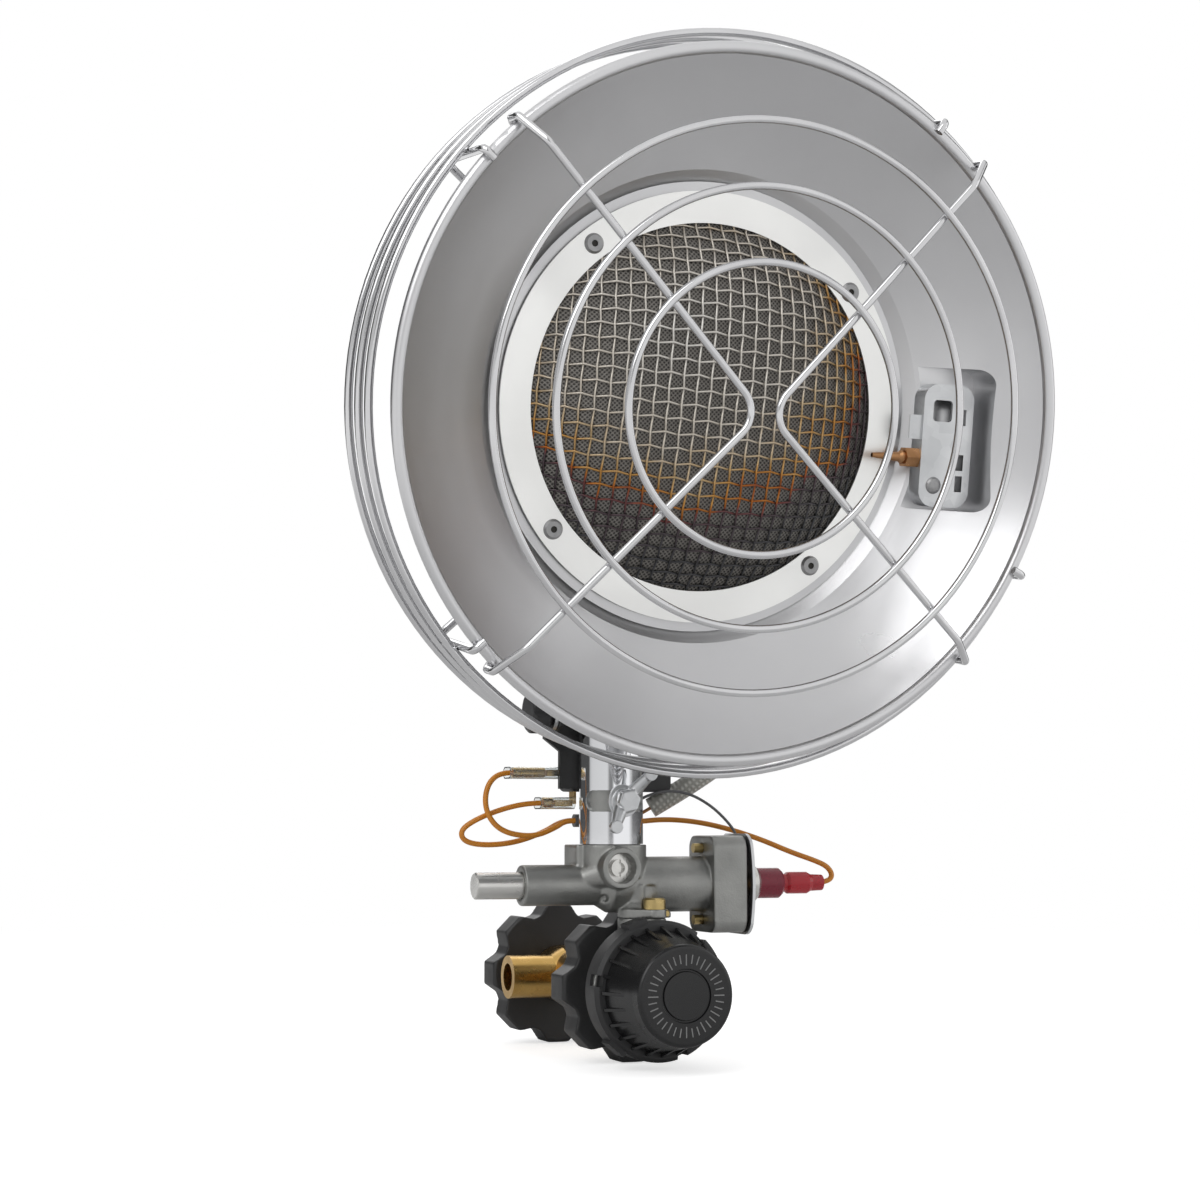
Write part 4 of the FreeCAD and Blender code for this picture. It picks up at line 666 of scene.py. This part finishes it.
# Leads: a smooth line through each route, in millimetres from the neck's foot. The sleeve's last stops are
# in millimetres from the tilt pivot, along the tilted head.
leads = {
    "upper": [(-34.0, 20.0, 44.5), (-39.5, 20.0, 44.5), (-44.5, 19.4, 41.0), (-46.8, 18.4, 35.0),
              (-46.3, 17.6, 28.5), (-42.5, 17.0, 22.8), (-36.0, 16.8, 19.8), (-26.0, 16.8, 19.0),
              (-17.0, 17.2, 22.6), (-13.0, 17.3, 25.3), (-9.05, 17.3, 25.3)],
    "lower": [(-21.0, 20.0, 32.4), (-27.5, 20.0, 32.4), (-38.0, 21.2, 30.2), (-49.0, 22.4, 26.0),
              (-55.5, 23.2, 21.5), (-54.0, 23.6, 17.0), (-45.5, 23.6, 15.4), (-33.0, 22.8, 16.4),
              (-21.0, 21.0, 20.6), (-13.5, 19.9, 25.3), (-9.05, 19.9, 25.3)],
    "magnet": [(9.1, 17.6, 24.6), (16.0, 17.6, 24.6), (30.0, 17.0, 26.0), (44.6, 15.4, 24.8),
               (58.0, 12.4, 21.6), (70.0, 8.4, 17.4), (81.0, 4.6, 12.4), (90.5, 1.6, 9.0),
               (96.0, 0.4, 6.4), (98.0, 0.0, 2.4), (94.6, 0.0, 0.0), (88.1, 0.0, 0.0)],
    "ground": [(9.1, 18.5, 26.9), (12.5, 18.5, 26.9), (15.2, 17.0, 30.4), (18.6, 14.0, 34.6),
               (27.6, 11.0, 37.6), (37.2, 9.0, 36.6), (46.0, 7.2, 31.8), (52.6, 5.6, 25.6),
               (57.2, 5.0, 19.5), (57.2, 5.2, 15.5)],
    "sleeve": [(25.5, 21.0, 30.5), (39.5, 16.5, 39.0), (55.0, 5.5, 52.0), (70.5, -11.0, 74.0),
               (85.0, -29.0, 103.0), (95.0, -46.5, 133.0)],
    "sleeveInHead": [(97.0, -60.0, 109.0), (97.0, -76.4, 109.0)],
    "leadRadius": 1.1,
    "groundRadius": 0.6,
    "sleeveRadius": 4.2,
    "leadSides": 3,
    "sleeveSides": 5,
    "resolution": 10,
    "order": 3,
}


def leadCurve(name, routes, radiusMm, sides):
    curve = tubeCurve(name, radiusMm, sides)
    curve.resolution_u = leads["resolution"]
    for route in routes:
        spline = addSpline(curve, "NURBS", route)
        spline.order_u = leads["order"]
        spline.use_endpoint_u = True
    return curve


# A lead between two bodies, made as one fixed mesh that stays on neither body
def bendingLead(name, nodeName, route, radiusMm, sides, blendTo):
    piece = meshPiece(name, leadCurve(name, [route], radiusMm, sides))
    standFor(piece, nodeName, blendTo)


routes = {name: [neckPoint(*stop) for stop in leads[name]]
          for name in ("upper", "lower", "magnet", "ground", "sleeve")}
routes["sleeve"] += [headPoint(*stop) for stop in leads["sleeveInHead"]]

switchPair = leadCurve("switch_lead_pair", [routes["upper"], routes["lower"]], leads["leadRadius"],
                       leads["leadSides"])
standFor(linkPiece("switch_lead_pair", switchPair), "switch_leads")
bendingLead("magnet_lead_wire", "magnet_lead", routes["magnet"], leads["leadRadius"], leads["leadSides"],
            ("neck", "base"))
bendingLead("ground_lead_wire", "ground_wire", routes["ground"], leads["groundRadius"], leads["leadSides"],
            ("neck", "base"))
bendingLead("braided_sleeve", "thermocouple_sleeve", routes["sleeve"], leads["sleeveRadius"],
            leads["sleeveSides"], ("neck", "head"))
print("leads laid")


# Castings and mouldings with their edges rounded: a voxel skin over the CAD solid, smoothed a little.
# For each node, the voxel's size in millimetres and the number of smoothing passes.
softEdges = {"strength": 0.5,
             "skins": {"valve_body": (0.45, 5), "tank_nut": (0.5, 3), "regulator_nut": (0.5, 3),
                       "regulator_body": (0.5, 3), "wing_screw": (0.3, 3), "tilt_knob": (0.3, 3)}}


def softened(nodeName, voxelMm, passes):
    shape = bmesh.new()
    shape.from_mesh(nodes[nodeName].data)
    bmesh.ops.remove_doubles(shape, verts=shape.verts, dist=weld)
    piece = linkPiece(nodeName + "_soft", meshFrom(shape, nodeName + "_soft"))
    skin = piece.modifiers.new("skin", "REMESH")
    skin.mode = "VOXEL"
    skin.voxel_size = voxelMm * mm
    skin.use_smooth_shade = True
    smooth = piece.modifiers.new("smooth", "SMOOTH")
    smooth.iterations = passes
    smooth.factor = softEdges["strength"]
    standFor(piece, nodeName)


for nodeName, (voxelMm, passes) in softEdges["skins"].items():
    softened(nodeName, voxelMm, passes)
print("edges softened")


# Stage: pale floor under the lowest point, white beyond it
stage = {"floorBelow": 0.3, "floorRadius": 6.0, "floorSides": 96, "whiteFrom": 0.35, "whiteTo": 1.1,
         "floorColour": "E8E8E8", "floorGlow": 0.62}
white = grey(1.0)


def floorFinish():
    material = bpy.data.materials.new("paleFloor")
    material.use_nodes = True
    tree = material.node_tree
    tree.nodes.clear()
    place = addNode(tree, "ShaderNodeTexCoord").outputs["Object"]
    away = addNode(tree, "ShaderNodeVectorMath", None, {0: place}, operation="LENGTH")
    fade = addNode(tree, "ShaderNodeMapRange", {"From Min": stage["whiteFrom"], "From Max": stage["whiteTo"]},
                   {"Value": away.outputs["Value"]}, interpolation_type="SMOOTHSTEP")
    seen = addNode(tree, "ShaderNodeLightPath")
    direct = addNode(tree, "ShaderNodeMath", None,
                     {0: seen.outputs["Is Camera Ray"], 1: seen.outputs["Is Glossy Ray"]},
                     operation="MAXIMUM")
    glow = addNode(tree, "ShaderNodeMath", {1: stage["floorGlow"]}, {0: seen.outputs["Is Camera Ray"]},
                   operation="MULTIPLY")
    lit = addNode(tree, "ShaderNodeBsdfDiffuse", {"Color": hexToLinear(stage["floorColour"])})
    shine = addNode(tree, "ShaderNodeEmission", {"Color": white}, {"Strength": glow.outputs["Value"]})
    near = addNode(tree, "ShaderNodeAddShader", None,
                   {0: lit.outputs["BSDF"], 1: shine.outputs["Emission"]})
    beyond = addNode(tree, "ShaderNodeEmission", {"Color": white, "Strength": 1.0})
    far = addNode(tree, "ShaderNodeMath", None, {0: fade.outputs["Result"], 1: direct.outputs["Value"]},
                  operation="MULTIPLY")
    mixed = addNode(tree, "ShaderNodeMixShader", None,
                    {0: far.outputs["Value"], 1: near.outputs["Shader"], 2: beyond.outputs["Emission"]})
    addNode(tree, "ShaderNodeOutputMaterial", None, {"Surface": mixed.outputs["Shader"]})
    return material


def paleFloor():
    shape = bmesh.new()
    height = cadLow.z - stage["floorBelow"] * mm
    bmesh.ops.create_circle(shape, cap_ends=True, segments=stage["floorSides"], radius=stage["floorRadius"],
                            matrix=Matrix.Translation((0, 0, height)))
    mesh = meshFrom(shape, "pale_floor")
    mesh.materials.append(floorFinish())
    floor = linkPiece("pale_floor", mesh)


paleFloor()

# Soft square lights round the object: place and size in metres, power in watts
lights = {"key_light": {"place": (-1.1, -1.1, 1.2), "size": 1.3, "power": 11},
          "fill_light": {"place": (1.5, -0.5, 0.7), "size": 1.2, "power": 5},
          "back_light": {"place": (0.3, 1.3, 1.2), "size": 1.2, "power": 6}}


def studioLight(name, light, aim):
    data = bpy.data.lights.new(name, "AREA")
    data.size = light["size"]
    data.energy = light["power"]
    lamp = linkPiece(name, data)
    lamp.location = light["place"]
    lamp.rotation_mode = "QUATERNION"
    lamp.rotation_quaternion = (aim - Vector(light["place"])).to_track_quat("-Z", "Y")


middle = (cadLow + cadHigh) / 2
for name, light in lights.items():
    studioLight(name, light, middle)


# White for the camera and through glass. Metal sees the same white behind the object, white panels in front
# and dark flags between them. A panel's place runs anticlockwise from the left, seen from above.
room = {"softLight": 0.45, "ceiling": 0.95, "ceilingFrom": 0.58, "ceilingTo": 0.82,
        "panels": [(0.0, 0.7), (0.155, 0.75), (0.18, 0.25), (0.205, 0.25), (0.225, 1.0), (0.38, 1.0),
                   (0.43, 0.16), (0.50, 0.10), (0.69, 0.08), (0.72, 1.0), (0.76, 1.0), (0.79, 0.08),
                   (0.95, 0.08), (0.97, 0.6), (1.0, 0.7)]}


def whiteRoom():
    world = bpy.data.worlds.new("whiteRoom")
    world.use_nodes = True
    tree = world.node_tree
    tree.nodes.clear()
    seen = addNode(tree, "ShaderNodeLightPath")
    place = addNode(tree, "ShaderNodeTexCoord").outputs["Generated"]
    parts = addNode(tree, "ShaderNodeSeparateXYZ", None, {"Vector": place})
    around = addNode(tree, "ShaderNodeTexGradient", None, {"Vector": place}, gradient_type="RADIAL")
    ramp = addNode(tree, "ShaderNodeValToRGB", None, {"Fac": around.outputs["Fac"]})
    fillRamp(ramp, [(at, grey(level)) for at, level in room["panels"]])
    up = addNode(tree, "ShaderNodeMapRange",
                 {"From Min": room["ceilingFrom"], "From Max": room["ceilingTo"]},
                 {"Value": parts.outputs["Z"]})
    whole = addNode(tree, "ShaderNodeMix", {7: grey(room["ceiling"])},
                    {0: up.outputs["Result"], 6: ramp.outputs["Color"]}, data_type="RGBA")
    soft = addNode(tree, "ShaderNodeBackground", {"Color": white, "Strength": room["softLight"]})
    inMetal = addNode(tree, "ShaderNodeBackground", {"Strength": 1.0}, {"Color": whole.outputs[2]})
    plain = addNode(tree, "ShaderNodeBackground", {"Color": white, "Strength": 1.0})
    clear = addNode(tree, "ShaderNodeMath", None,
                    {0: seen.outputs["Is Camera Ray"], 1: seen.outputs["Is Transmission Ray"]},
                    operation="MAXIMUM")
    first = addNode(tree, "ShaderNodeMixShader", None,
                    {0: seen.outputs["Is Glossy Ray"], 1: soft.outputs["Background"],
                     2: inMetal.outputs["Background"]})
    second = addNode(tree, "ShaderNodeMixShader", None,
                     {0: clear.outputs["Value"], 1: first.outputs["Shader"],
                      2: plain.outputs["Background"]})
    addNode(tree, "ShaderNodeOutputWorld", None, {"Surface": second.outputs["Shader"]})
    bpy.context.scene.world = world


whiteRoom()

# Camera at the photo's viewing angle: places in metres, lens and sensor in millimetres
view = {"place": (-0.3339, -0.9587, 0.0658), "tilt": 95.6, "turn": -20.72, "lens": 67.5, "sensor": 36,
        "nearest": 0.01}
lens = bpy.data.cameras.new("photo_view")
lens.lens = view["lens"]
lens.sensor_width = view["sensor"]
lens.clip_start = view["nearest"]
camera = linkPiece("photo_view", lens)
camera.location = view["place"]
camera.rotation_euler = (math.radians(view["tilt"]), 0, math.radians(view["turn"]))
bpy.context.scene.camera = camera
bpy.context.scene.view_settings.view_transform = "Standard"
print("stage and camera set")
